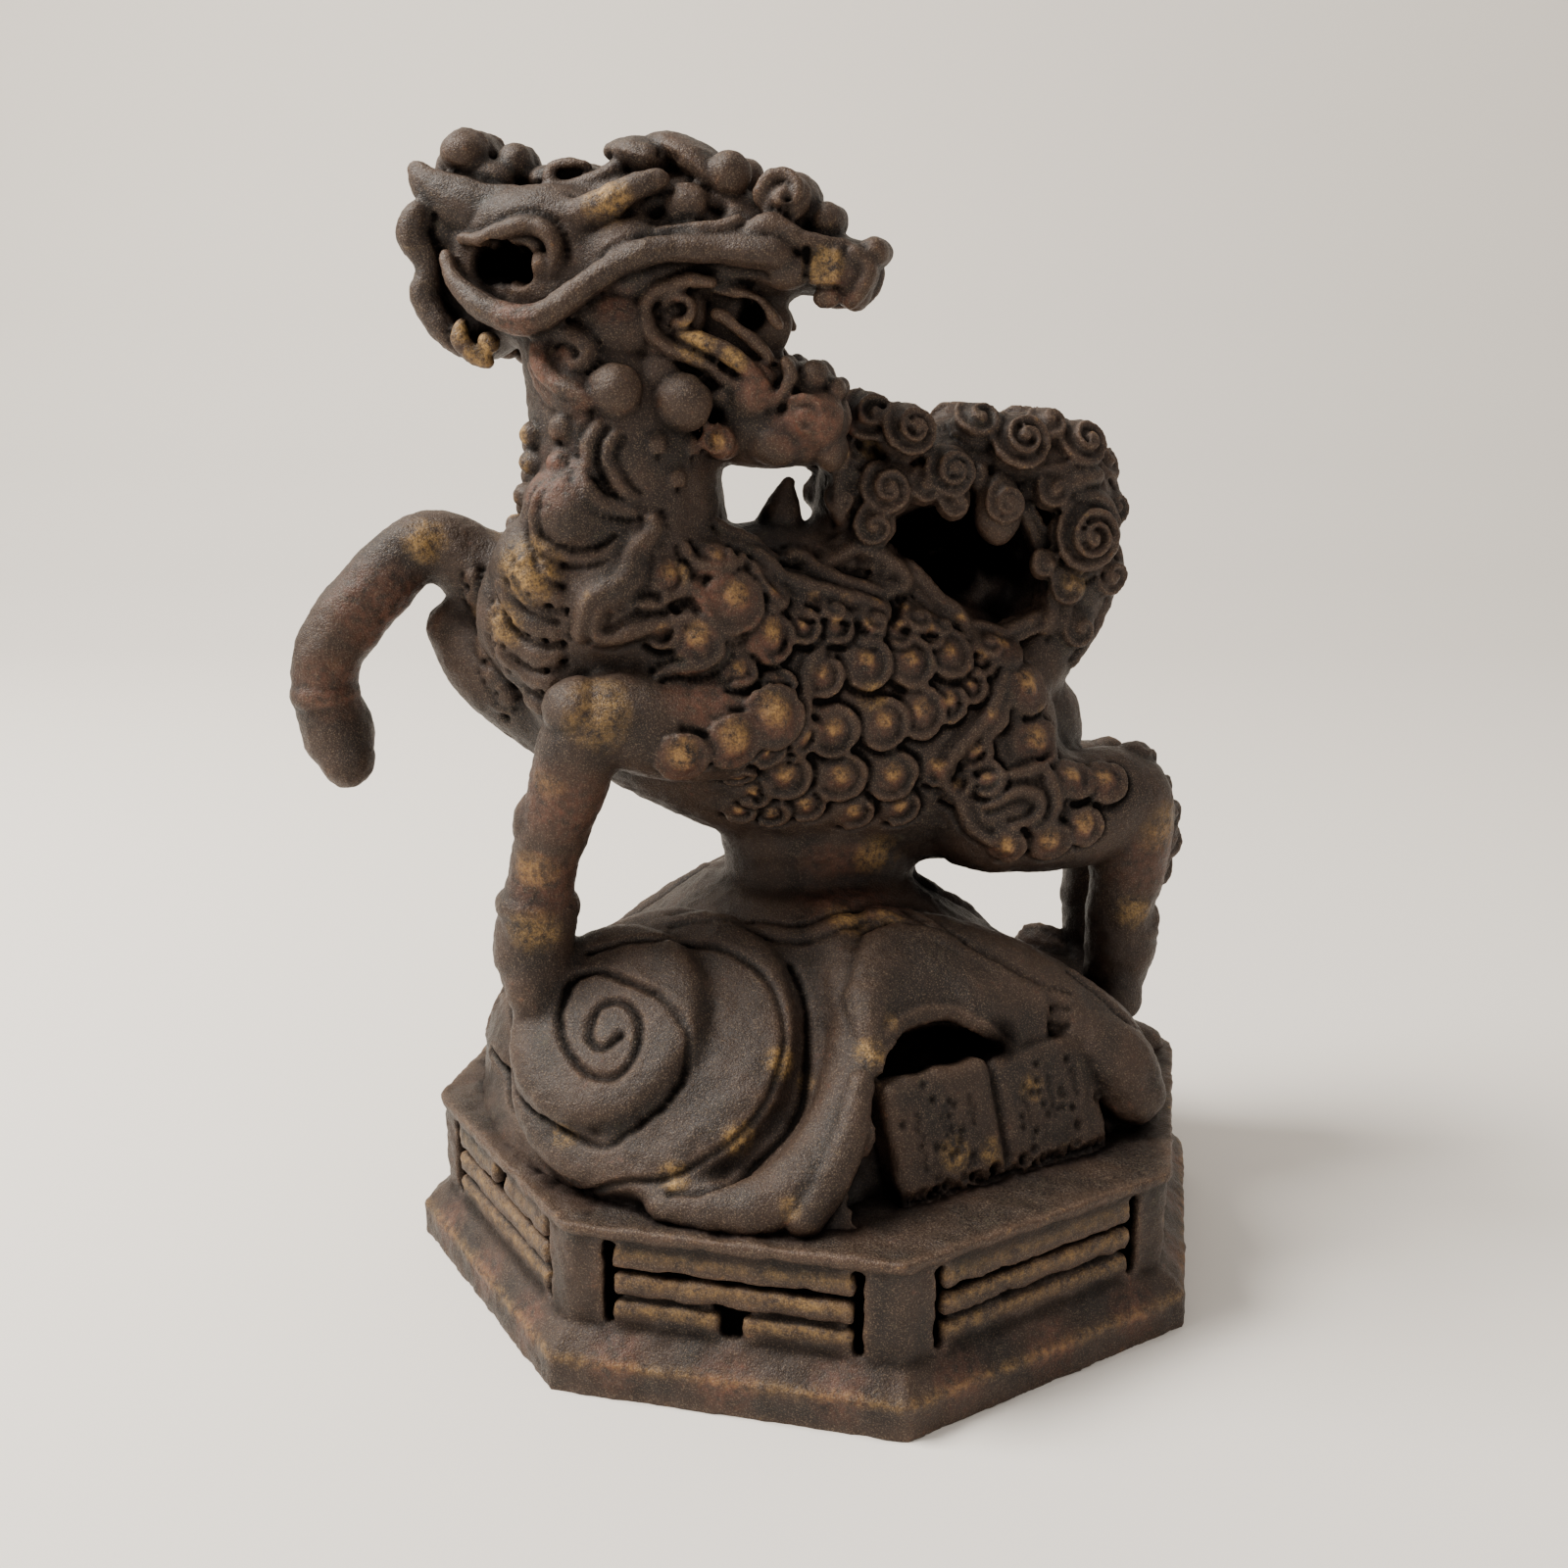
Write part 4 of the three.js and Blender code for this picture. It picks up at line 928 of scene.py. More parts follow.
# %% Tail curls
TAIL_CURLS = [
    # along, out, up, the way it faces, radius, rise, turns
    ((4.6, 1.6, 98.6), (-0.1, 0.9, 0.3), 3.2, 3.4, 2),
    ((8, 4, 97.3), (0.1, 0.95, 0.25), 3.2, 3.4, 2.2),
    ((6.2, 4.4, 91.4), (-0.2, 1, 0.1), 3, 2.2, 2),
    ((13.2, 4.6, 93), (0, 1, 0.15), 3, 2.8, 2.3),
    ((13.8, 5, 89.9), (0, 1, 0), 2.1, 1.8, 1.2),
    ((22.4, 3.4, 95.4), (0, 0.9, 0.4), 3.7, 3.4, 2.3),
    ((30.1, 2.8, 95), (0.2, 0.85, 0.45), 3.3, 3.1, 2),
    ((33.4, 1, 92.8), (0.6, 0.6, 0.4), 2.7, 2.4, 1.5),
    ((30.6, 4.6, 85.6), (0.1, 1, 0), 4.2, 3.2, 2.6),
    ((28.4, 5.6, 79.4), (0, 1, 0.05), 2.3, 1.4, 1.3),
    ((17.8, 2.4, 97.4), (0, 0.7, 0.6), 2.9, 2.4, 1.6),
    ((26.6, 2.6, 97), (0, 0.75, 0.6), 2.7, 2.2, 1.4),
    ((34.8, 2.4, 88.4), (0.4, 0.85, 0.1), 2.6, 1.8, 1.5),
    ((26.6, 4.6, 90.8), (0, 1, 0.1), 2.4, 1.8, 1.4),
    ((34.2, 4, 80.6), (0.3, 0.9, 0), 2.7, 1.8, 1.6),
    ((30.2, 5, 74.4), (0.1, 1, 0), 2.4, 1.6, 1.4),
    ((25.4, 5.4, 82.4), (0, 1, 0), 1.8, 1.4, 1),
    ((4.6, 4.6, 87.4), (-0.2, 1, 0), 2.4, 1.7, 1.5),
    ((10.4, 4.8, 91.6), (0, 1, 0.1), 2.2, 1.8, 1.4),
    ((1.4, 2.2, 95), (-0.5, 0.85, 0.2), 2.5, 1.8, 1.5),
    ((1.8, 2.8, 90.4), (-0.4, 0.9, 0), 2.1, 1.4, 1.2),
]
CURL_PROUD = 1.2

for centre, out, radius, rise, turns in TAIL_CURLS:
    proud = [start + way * CURL_PROUD for start, way in zip(centre, out)]
    both_curls(form, proud, out, radius * 1.12, rise * 1.05, turns, radius * 0.07 + 0.25, 100)
print("tail curls", len(TAIL_CURLS), "on each flank")

# %% Tail locks
TAIL_LOCKS = [
    [
        (22.3, 6, 86.9, 0.7), (23.6, 6, 89.3, 1.1), (25.9, 6, 91.2, 1.3), (29, 6, 92, 1.3),
        (32.5, 5, 92.3, 0.9),
    ],
    [
        (24, 7, 85.4, 0.7), (24.9, 7, 87.8, 0.9), (27.2, 7, 89.6, 1), (30.7, 7, 90.2, 1),
        (33.6, 6, 88.9, 0.8), (35, 5, 86, 0.7),
    ],
    [
        (11, 1, 95.6, 0.8), (13.2, 1, 97, 1.2), (17.6, 1, 98, 1.4), (23.4, 1, 98.7, 1.4),
        (28, 1, 98, 1.2), (33.4, 1, 96.4, 0.8),
    ],
    [
        (34.8, 4, 84, 0.7), (35.4, 4, 80, 0.9), (34.2, 4, 76, 0.9), (32, 5, 72.4, 0.8),
        (29.4, 5, 70, 0.6),
    ],
    [(36.8, 2, 84, 0.6), (36.6, 2, 79, 0.8), (34.4, 2, 74, 0.8), (30.4, 3, 70, 0.6)],
    [(34, 3, 92, 0.7), (36, 2, 89, 0.8), (36.8, 1, 86, 0.6)],
    [(27.4, 6, 81.8, 0.6), (30.4, 6, 81, 0.8), (33, 5, 82, 0.6)],
    [
        (9, 6, 93.9, 0.8), (6.4, 6, 93.6, 1.1), (4.6, 6, 91.3, 1.1), (5.2, 6, 88.6, 1),
        (6.4, 5, 86.4, 0.7),
    ],
    [(2.4, 3, 96, 0.8), (2, 3, 93, 1.1), (1.6, 3, 90, 1.1), (1.4, 4, 87.4, 0.9)],
    [(17.6, 5, 94, 0.7), (17.4, 6, 91.6, 1), (17.8, 6, 89.4, 0.8)],
]

for lock in TAIL_LOCKS:
    both_flanks(form, lock, 1.1, 0)
for side in BOTH_SIDES:
    ball(form, body(19.8, 5.6 * side, 88.8), (3, 4.3, 2.6), FLANK * side, BALL_FINE)
    curl(form, body(19.8, 6.8 * side, 89.6), body(0, side, 0.1), 2.7, 1.9, 2.2, 0.4, 90, side)
print("tail locks", len(TAIL_LOCKS), "on each flank")

# %% [markdown]
# ## Legs
#
# The legs of the real one are smooth but for their joints: a knob at the knee, fetlock tufts over
# the hoof, and a row of tufts down the back of the hock. The rods of the legs could be reshaped,
# but bone and sinew sit on them like lumps, so balls are laid on and melt in when all is fused.

# %% Legs
SHANK_KNOBS = [
    # along, out, up, radius
    (35.4, 9, 50.6, 3), (35.6, 9, 45.4, 2.6), (35.4, 9, 38.8, 2.9), (39.4, 9, 43.4, 2.9),
    (39.4, 9, 37.4, 2.8),
    (37, 11, 47.6, 2.7), (37.4, 10.8, 40.4, 2.6), (36, 11.4, 53.4, 3.4),
]
FORE_KNOBS = [
    (-35.8, 9.6, 56.4, 2.9), (-35.2, 9.8, 48.8, 3), (-36.4, 9.4, 51, 2.9), (-33.4, 11.4, 62, 3.4),
]
HOCK_TUFTS = (
    # out, set back, lower, how many, how far they stand out
    (8.5, 0, 0, 5, 4.2),
    (-8.5, 5.2, 3.5, 3, 2.2),
)
JOINTS = [
    ((-31.4, 12, 69.4), (3.6, 4.4, 3.6)), ((-36.4, 8.6, 46.8), (4.4, 4.4, 2.6)),
    ((-33.6, 8.8, 46.4), (2.4, 2.6, 2.6)), ((-45, -9, 85), (4, 4.2, 3.6)),
    ((-57, -9, 68.6), (4.1, 4.1, 2.6)),
    ((37.8, 8.4, 36), (4.4, 4.2, 2.4)), ((43, -8.4, 32.5), (4.4, 4.2, 2.4)),
]

for side, shift, drop in HIND_STANCES:
    for along, out, height, size in SHANK_KNOBS:
        ball(form, body(along + shift, out * side, height - drop), (size, size * 0.85, size * 1.2), UP)
for along, out, height, size in FORE_KNOBS:
    ball(form, body(along, out, height), (size, size * 0.9, size * 1.3), UP)
for out, shift, drop, count, proud in HOCK_TUFTS:
    for index in range(count):
        turn = index / (count - 1)
        place = body(38.2 + shift + proud * math.sin(turn * 2.3), out, 58 - drop - turn * 13.6)
        curl(form, place, body(0.5, math.copysign(0.8, out), 0.1), 2.7, 1.9, 1.1, 0.6, 200)
        ball(form, place - ALONG * 0.6, (2.5, 2.5, 2.5))
for place, radii in JOINTS:
    ball(form, body(*place), radii, UP, BALL_FINE)
print("with legs", len(form.verts), "points")

# %% [markdown]
# ## The head's ornament
#
# The head is modelled in the figure's upright frame: x to the viewer's right, where it looks, and
# z up. Its horns, brows and whiskers stand free of the skull, so most of its strands aren't
# pressed on but follow their own line. Each helper works on both sides of the middle plane.

# %% Head helpers
def on_side(place, side):
    """A place of the near half of the head, or its mirror image in the far half."""
    x, y, z = place
    return Vector((x, HEAD_MIDDLE + (y - HEAD_MIDDLE) * side, z))


def head_line(knots, tall=1.0):
    """A free strand on either side of the head, along knots of (x, y, z, half width)."""
    rows = smooth_line(knots)
    for side in BOTH_SIDES:
        places = [on_side(row[:3], side) for row in rows]
        widths = [row[3] for row in rows]
        outs = [Vector((0, -side, 0))] * len(rows)
        strand(form, places, widths, outs, tall, 10)
        score_beside(places, widths, outs)


def head_pressed(knots, tall, sink):
    """A strand on the skull's skin, on either side of the head."""
    for side in BOTH_SIDES:
        pressed(form, knots, tall, sink, lambda x, y, z: on_side((x, y, z), side))


def head_ball(place, radii):
    """A ball on either side of the head."""
    for side in BOTH_SIDES:
        ball(form, on_side(place, side), radii, UP, BALL_FINE)


def head_curl(centre, out, radius, rise, turns, thick, start=0, hand=1):
    """A curl on either side of the head, wound the other way on the far one."""
    for side in BOTH_SIDES:
        x, y, z = out
        first = start if side > 0 else 180 - start
        curl(form, on_side(centre, side), (x, y * side, z), radius, rise, turns, thick, first, hand * side)


# %% Horns and ears
HORN = [
    (-27, -14.6, 120.8, 2.2), (-29.7, -15, 121, 2.6), (-33.4, -15.2, 121.1, 2.9),
    (-37.1, -15.2, 122, 3), (-40.4, -15, 123.9, 2.1), (-42.5, -14.6, 126.3, 0.9),
]
TINE = [(-36.6, -15, 122.4, 1.2), (-36.1, -14.6, 124.2, 0.8), (-35.9, -14.4, 125.2, 0.4)]
EAR_RIM = [
    (-35.9, -17.6, 118.2, 0.7), (-33, -18.8, 117.9, 0.9), (-30.4, -19.2, 118.6, 1),
    (-27.5, -19.2, 119.2, 1), (-25.3, -19, 118.5, 1), (-24.5, -18.8, 116.7, 0.9),
    (-25, -18.6, 114.6, 0.8), (-26.2, -18.6, 113.7, 0.7),
]
CROWN_BALLS = [
    ((-36.9, -10.6, 127), (3.1, 3.1, 2.9)), ((-31.8, -9, 126.2), (2, 2.4, 2.2)),
    ((-38.8, -9, 125.4), (2.4, 2.6, 2.8)), ((-28.2, -9.4, 124.6), (2.6, 2.6, 1.5)),
    ((-24.6, -9.6, 124.6), (2.6, 2.6, 1.6)), ((-36.8, -7, 127.2), (2.6, 2.8, 2.4)),
]

head_line(HORN, 0.7)
head_line(TINE, 0.8)
head_ball((-34, -13, 124.6), (2.7, 2, 2))
head_line(EAR_RIM, 1.5)
head_ball((-26.4, -18.8, 115.2), (1.4, 1.4, 1.4))
for place, radii in CROWN_BALLS:
    head_ball(place, radii)
head_curl((-36.9, -12.6, 127), (0, -0.9, 0.4), 2.8, 1.6, 1.3, 0.55, 20)
print("with horns", len(form.verts), "points")

# %% Mane
MANE_LOCK = [
    # x, shift in y, z, half width
    (-41, 0, 122.2, 1.3), (-42.4, -0.3, 118.8, 1.9), (-41, 0, 115.4, 1.5), (-41.4, 0, 112, 1.8),
    (-39.2, 0, 108.6, 1.7), (-36, 0.4, 106.4, 1.2),
]
MANE_ROWS = ((-16, 0.6), (-12.6, -0.4), (-8.6, -0.8))
MANE_END = [
    (-36, -17.4, 110, 0.7), (-36.3, -17.6, 108, 1.1), (-35, -17.6, 106.2, 1.1),
    (-32.6, -17.4, 105.2, 0.8),
]

for y, shift in MANE_ROWS:
    head_line([(x + shift, y + aside, z, width) for x, aside, z, width in MANE_LOCK])
head_line(MANE_END, 1.1)
head_ball((-33, -17.6, 107.4), (1.3, 1.2, 1.3))
print("with mane", len(form.verts), "points")

# %% Brow and crest
BROW = [
    (-25.7, -17, 120.1, 1.4), (-22, -17.4, 120.4, 1.7), (-18.4, -17.2, 121.9, 1.7),
    (-15.5, -16.6, 123.2, 1.4), (-13, -15.8, 124, 1.1),
]
UNDER_BROW = [
    (-17.6, -16.6, 117.8, 0.8), (-11.1, -16.6, 118.6, 0.9), (-7.3, -16, 118.9, 0.8),
    (-5.1, -15.4, 119.8, 0.6),
]
BROW_CURL = [
    (-18.4, -12.6, 125.6, 0.8), (-19.7, -12.8, 125.2, 1), (-21.9, -13.2, 124, 1.1),
    (-24.9, -13.4, 123.3, 1.1), (-26.7, -13.4, 123.8, 1), (-26.8, -13, 125.3, 0.9),
    (-24.8, -12.8, 125.8, 0.8), (-22.6, -12.6, 125.4, 0.6),
]
CREST_FRONT = [
    (-14, -10, 125.4, 2.2), (-17.4, -10, 126.6, 2.1), (-19.8, -10, 127.1, 1.5),
    (-21.8, -10, 127.2, 0.7),
]
CREST_TOP = [
    (-17.4, -10, 127.4, 0.8), (-16, -10, 127.8, 1.2), (-14, -10, 127.4, 1.6), (-11.4, -10, 126, 1.9),
    (-9.4, -10, 124.2, 1.8), (-7.6, -10, 122.6, 1.5), (-5.8, -10, 121.6, 1),
]
CREST_WIDE = 2.6
CREST_STEPS = 8

head_line(BROW, 0.9)
head_line(UNDER_BROW)
head_ball((-11.6, -14.6, 121.2), (2.5, 2, 2.4))
head_line(BROW_CURL, 1.3)
for line in (CREST_FRONT, CREST_TOP):
    rows = smooth_line(line)
    strand(form, [row[:3] for row in rows], [row[3] for row in rows], [BACK] * len(rows), CREST_WIDE, 12)
for side in BOTH_SIDES:
    for step in range(CREST_STEPS + 1):
        share = step / CREST_STEPS
        scores.append((on_side((-17 + 9 * share, -14, 126.6 - 2.6 * share**2), side), 0.6, 0.3))
head_ball((-7.3, -7, 124.4), (2.3, 2.2, 2.3))
print("with brow", len(form.verts), "points")

# %% Muzzle and whiskers
WHISKER_BAND = [
    (0, -14.4, 116, 1.4), (-2.4, -15, 116.4, 2), (-5.2, -15.6, 116.6, 1.9), (-7.9, -16.2, 116.7, 1.6),
    (-11.1, -17.2, 116.8, 1.5), (-14.3, -18.2, 116.4, 1.5), (-17.6, -19.2, 115.2, 1.45),
    (-20.8, -20.2, 113.1, 1.45), (-23.5, -20.8, 111.2, 1.5), (-25.5, -21.2, 110, 1.6),
    (-27.7, -21.2, 109.6, 1.7), (-30.3, -21, 110.2, 1.6), (-33.2, -20, 111.5, 1.5),
    (-35.8, -19, 113.6, 1.2), (-37, -18.2, 115.4, 0.9), (-37.6, -17.6, 117, 0.6),
]
LIP = [
    (-7, -15.2, 117.4, 0.8), (-4.3, -15.2, 118.3, 1.3), (-2.4, -15, 118.9, 1.5),
    (-0.9, -14.8, 118.4, 1.3), (0.8, -14.4, 117.6, 1), (3, -13.8, 117.4, 0.8), (5.6, -12.8, 117.2, 0.7),
]

head_line(WHISKER_BAND, 1.1)
head_line(LIP, 1.1)
head_ball((-1.4, -10.8, 121.6), (3.3, 3.6, 3.3))
head_curl((-1.3, -13.4, 121.9), (0.1, -1, 0.25), 2.9, 1.5, 1.1, 0.8, 200, -1)
head_ball((2.7, -10.8, 119.8), (1.9, 2.4, 1.9))
head_ball((7.7, -10.8, 116.6), (1.7, 2.6, 1.6))
head_ball((-1.2, -13.6, 114.8), (3.2, 2, 2.1))
print("with muzzle", len(form.verts), "points")

# %% Front teeth
TOOTH_PLACE = (3.2, -13.4, 115)
TOOTH_SIZE = (3.2, 2.2, 3.6)
TOOTH_GROOVES = (1.3, 5.1)
GROOVE_STEPS = 8
LIP_END = [(5.4, -13.4, 117, 0.8), (7.4, -12.6, 115, 1), (6.6, -12.6, 112.6, 1), (5, -12.4, 110.9, 0.7)]

for side in BOTH_SIDES:
    tooth = bmesh.new()
    placing = Matrix.Translation(on_side(TOOTH_PLACE, side)) @ Matrix.Diagonal((*TOOTH_SIZE, 1))
    bmesh.ops.create_cube(tooth, size=1, matrix=placing)
    add(form, tooth)
    for x in TOOTH_GROOVES:
        for step in range(GROOVE_STEPS):
            scores.append((on_side((x, -14.6, 113.4 + step * 0.5), side), 0.6, 0.5))
head_line(LIP_END, 1.2)
head_ball((3.2, -13, 111.9), (1.6, 1.3, 1.1))
print("with teeth", len(form.verts), "points")

# %% Mouth
MOUTH_RING = [
    (-8, -15.8, 113.3, 0.6), (-10.1, -16.4, 113.6, 0.75), (-12.2, -16.8, 113.2, 0.8),
    (-14.4, -17.2, 112.4, 0.85), (-15.3, -17.4, 110.8, 0.85), (-14.8, -17.4, 108.5, 0.85),
    (-13.1, -17.2, 107, 0.8), (-10.6, -16.6, 105.8, 0.8), (-7.8, -15.8, 104.5, 0.6),
]
MOUTH_CURL = [
    (-14, -16.8, 111.2, 0.5), (-12.6, -16.8, 112, 0.6), (-11.2, -16.6, 111.9, 0.6),
    (-10.5, -16.4, 110.8, 0.6), (-11.1, -16.6, 109.6, 0.6), (-12.8, -16.8, 109.3, 0.5),
]
GOLD_FOLD = [
    (-13.3, -16.4, 108, 0.7), (-10.5, -16.4, 107.7, 1), (-7.7, -16.1, 106.8, 1.1),
    (-5.5, -15.4, 105.3, 1.1), (-3.8, -14.7, 103.1, 1), (-1.9, -14.2, 100.9, 0.7),
]
MOUTH_FOLDS = [
    [(-12, -15.8, 105.6, 0.6), (-9.6, -15.8, 104.6, 0.8), (-7, -15.4, 103.6, 0.8), (-4.8, -14.8, 101.4, 0.6)],
    [(-9, -14.8, 110.6, 0.6), (-6.6, -14.6, 109.4, 0.9), (-4.4, -14, 107.4, 0.9), (-2.4, -13.6, 105.4, 0.6)],
    [(-9, -14.2, 112.8, 0.5), (-6, -14, 112.4, 0.8), (-3.4, -13.6, 111, 0.8), (-1.6, -13.2, 108.6, 0.6)],
]

head_line(MOUTH_RING, 1.5)
head_line(MOUTH_CURL, 1.3)
head_ball((-12.6, -14.4, 110.4), (3, 2.4, 3.2))
head_line(GOLD_FOLD)
for fold in MOUTH_FOLDS:
    head_line(fold)
print("with mouth", len(form.verts), "points")

# %% Cheek
CHEEK_SPIRAL = [
    (-19.6, -20, 100.8, 0.8), (-22.3, -20, 102.1, 1.2), (-24.8, -20, 103.8, 1.4),
    (-26.3, -20, 105.8, 1.35), (-26.4, -20, 107.6, 1.2), (-24.9, -20, 108.6, 1.05),
    (-22.9, -20, 108.4, 0.95), (-21.2, -20, 107.4, 0.85), (-20.9, -20, 106, 0.8),
    (-21.9, -20, 104.9, 0.75), (-23.1, -20, 105.3, 0.7), (-23, -20, 106.4, 0.6),
]

head_pressed(CHEEK_SPIRAL, 1.5, -0.1)
head_ball((-20, -15.6, 109), (6, 4.2, 5))
head_ball((-26, -15.4, 113), (5, 4.4, 3.4))
head_curl((-23, -18.6, 105.8), (-0.35, -0.9, -0.1), 3.3, 1.9, 1.9, 0.55, 250)
print("with cheek", len(form.verts), "points")

# %% Jaw and beard
JAW_BALL = (-18.1, -20, 102.4)
JAW_BALLS = [
    ((-11.4, -17.4, 101.2), (3.3, 2.6, 3.1)), ((-14.6, -15.6, 103.8), (3.2, 3, 3.4)),
    ((-14.6, -15.4, 107), (3, 2.6, 3)), ((-5, -13.4, 102.4), (3.2, 2.6, 3.4)),
    ((-8, -14, 97.2), (2.1, 2.1, 2.1)),
    ((1.4, -12, 99.4), (3.6, 2.8, 3.4)), ((3, -10.6, 96.2), (1.8, 2.4, 2.4)),
    ((-2.6, -12.8, 97), (3.2, 2.4, 2.6)),
    ((1.6, -11.8, 104), (1.6, 2, 1.7)), ((3.9, -11, 102.6), (1, 1.6, 1.3)),
    ((-1.2, -12.4, 104.4), (1.2, 1.8, 1.8)),
    ((-7.8, -15, 102.2), (1.1, 1, 1.1)), ((-14.6, -15.4, 98.6), (2.2, 2.4, 2)),
]
BEARD_FOLD = [
    (-1.4, -14, 106, 0.6), (-0.4, -14, 104, 0.8), (-1.6, -14.2, 102, 0.7), (-2.6, -14.2, 100.8, 0.5),
]

head_ball(press(Vector(JAW_BALL))[0], (2.9, 2.5, 2.9))
for place, radii in JAW_BALLS:
    head_ball(place, radii)
head_curl((-8, -15.6, 97.2), (-0.1, -1, 0), 1.9, 0.9, 1.2, 0.45, 90)
head_curl((1.2, -13.8, 99.6), (0.2, -1, 0), 2.6, 1, 1.3, 0.5, 150, -1)
head_line(BEARD_FOLD, 1.2)
print("with beard", len(form.verts), "points")

# %% [markdown]
# ## Grooves and waves of the clouds
#
# The real clouds are broad smooth scrolls whose sheets seem to roll over each other. Ridges laid
# on them would look like ropes. So most lines are grooves: places on the core, kept in the list
# of scores, which are pressed in once all is fused. A few low waves lie on the top.

# %% Grooves of the great scroll
def groove(places, reach, depth):
    """Remember a groove along a smooth line on the core."""
    for row in smooth_line(places, 0.4):
        spot, normal = press(Vector(row[:3]))
        scores.append((spot, reach, depth))


SNAIL = [
    (-28.9, -30.5, 32.4), (-29.4, -30.5, 28.6), (-27.1, -32.9, 26.8), (-21.7, -36.4, 26),
    (-15.5, -37.5, 24.2), (-12.7, -36.3, 25.6), (-10, -34.4, 27.7), (-8.1, -33.1, 30.6),
    (-7.5, -31.6, 34.4), (-9.5, -29.2, 36.2), (-12.3, -27.3, 37.5), (-15.4, -27, 38.8),
    (-19.5, -25.9, 39.4), (-22.3, -26.6, 38.4), (-23, -29, 36.2), (-22.8, -29.4, 34.3),
    (-21.3, -31.7, 32.4), (-18.6, -33.8, 30.8), (-15.7, -34.6, 30.5), (-13.7, -33.7, 31.6),
    (-13, -31.7, 33.5), (-13.8, -30.1, 36.2), (-16, -28.5, 36.9), (-18.4, -28.9, 36),
    (-18.8, -31, 33.6), (-16.9, -32.2, 32.6), (-15.2, -31.2, 34),
]
SNAIL_TURN = 10
OUTER_RING = [
    (-21.4, -23.3, 40), (-17.6, -22.4, 41.3), (-14.2, -22.2, 41.9), (-8.8, -20, 40.9),
    (-3.7, -21.6, 40.2), (-0.1, -24.1, 38.4), (2.1, -27.7, 35.3), (2.5, -31, 32.5), (1.4, -34.3, 28.9),
    (-0.6, -36.4, 26.7), (-4, -38.8, 24.5), (-8.3, -40.1, 22.7), (-12.9, -40.7, 21.6),
    (-18.6, -36.8, 18.7),
]
INNER_RING = [
    (0.7, -19, 39.2), (3.2, -22.6, 36), (4.6, -28.6, 29.9), (3.8, -32.5, 26.2), (1, -35.8, 23.6),
    (-2.4, -39.9, 22.4), (-7.2, -40.8, 21.6),
]
LEFT_GROOVE = [(-37, -16.5, 24), (-34, -22, 23), (-30, -28, 22), (-24, -34, 21.4), (-18, -38, 20.6)]
LEFT_TOP_GROOVE = [(-36, -12, 30), (-33, -20, 28), (-30.6, -26, 27)]

groove(SNAIL[SNAIL_TURN:], 0.8, 0.55)
groove(SNAIL[:SNAIL_TURN + 1], 0.8, 0.4)
groove(OUTER_RING, 0.8, 0.45)
groove(INNER_RING, 0.8, 0.45)
groove(LEFT_GROOVE, 0.9, 0.8)
groove(LEFT_TOP_GROOVE, 0.9, 0.7)
print("marks", len(scores))

# %% Waves on the top
WAVES = [
    [
        (-14, -17.3, 42.6, 0.6), (-9.7, -16.6, 43.6, 0.8), (-5, -15.6, 42.6, 0.9),
        (0, -15.6, 41.9, 0.8), (4, -15, 42.6, 0.9), (8, -11.6, 43.4, 0.9), (12, -11.4, 42.8, 0.8),
        (15, -11, 42, 0.6),
    ],
    [
        (12, -8, 43, 0.6), (17, -11, 40.6, 0.8), (22, -11.6, 38, 0.9), (27, -11, 35.6, 0.8),
        (31, -9.4, 33.4, 0.6),
    ],
    [(30, -5.4, 35, 0.7), (35, -5.8, 32, 0.9), (39, -5.8, 27.4, 1), (41, -6.4, 23.4, 0.8)],
]
TONGUE_GROOVE = [(10.6, -12, 41.8), (17, -15, 38.6), (23, -15.4, 36), (28, -14, 33.6), (32, -12, 31.6)]

for wave in WAVES:
    pressed(form, wave, 0.55, 0.1, upright)
groove(TONGUE_GROOVE, 0.9, 0.4)
print("waves", len(WAVES))

# %% [markdown]
# ## The arched sheet
#
# A sheet of cloud springs over the tablets with a dark hollow under it. A thin shell could be
# bent there, but its edge is thick and rolled on the real one. So a strand makes the rolled edge,
# and many close limbs from the heap to the edge merge into one sheet.

# %% The arched sheet
ARCH = [
    (10.6, -32, 26.4, 0.7), (11.2, -30.4, 31, 0.8), (12.2, -27, 34.4, 0.85), (14.8, -22.4, 36, 0.85),
    (18.6, -19.2, 35.8, 0.85), (22.6, -18.8, 34.2, 0.8), (25.4, -17.4, 31.4, 0.7),
    (28, -14.6, 27.6, 0.6),
]
ARCH_OUT = Vector((0.3, -0.7, 0.6))
SHEET_ROOTS = [
    (10, -22.6, 37.6), (10, -18.6, 39.6), (11, -15, 41), (15, -13, 40.4), (19, -12.6, 38.6),
    (23, -12.4, 36.6), (27, -12, 34.2),
]
SHEET_STEP = 0.9
SHEET_START = 0.2
ARCH_FOOT = [(11, -30.6, 31.4, 1.5), (10.6, -34.2, 27.6, 2), (9.2, -37, 23.8, 2.3), (6.8, -39.4, 20, 2.3)]
TONGUE_END = [(30, -9, 32, 3.4), (36.6, -8.4, 27, 4.6), (39, -8.6, 23.4, 4)]
TONGUE_END_OUT = Vector((0.3, -0.9, 0.3)).normalized()

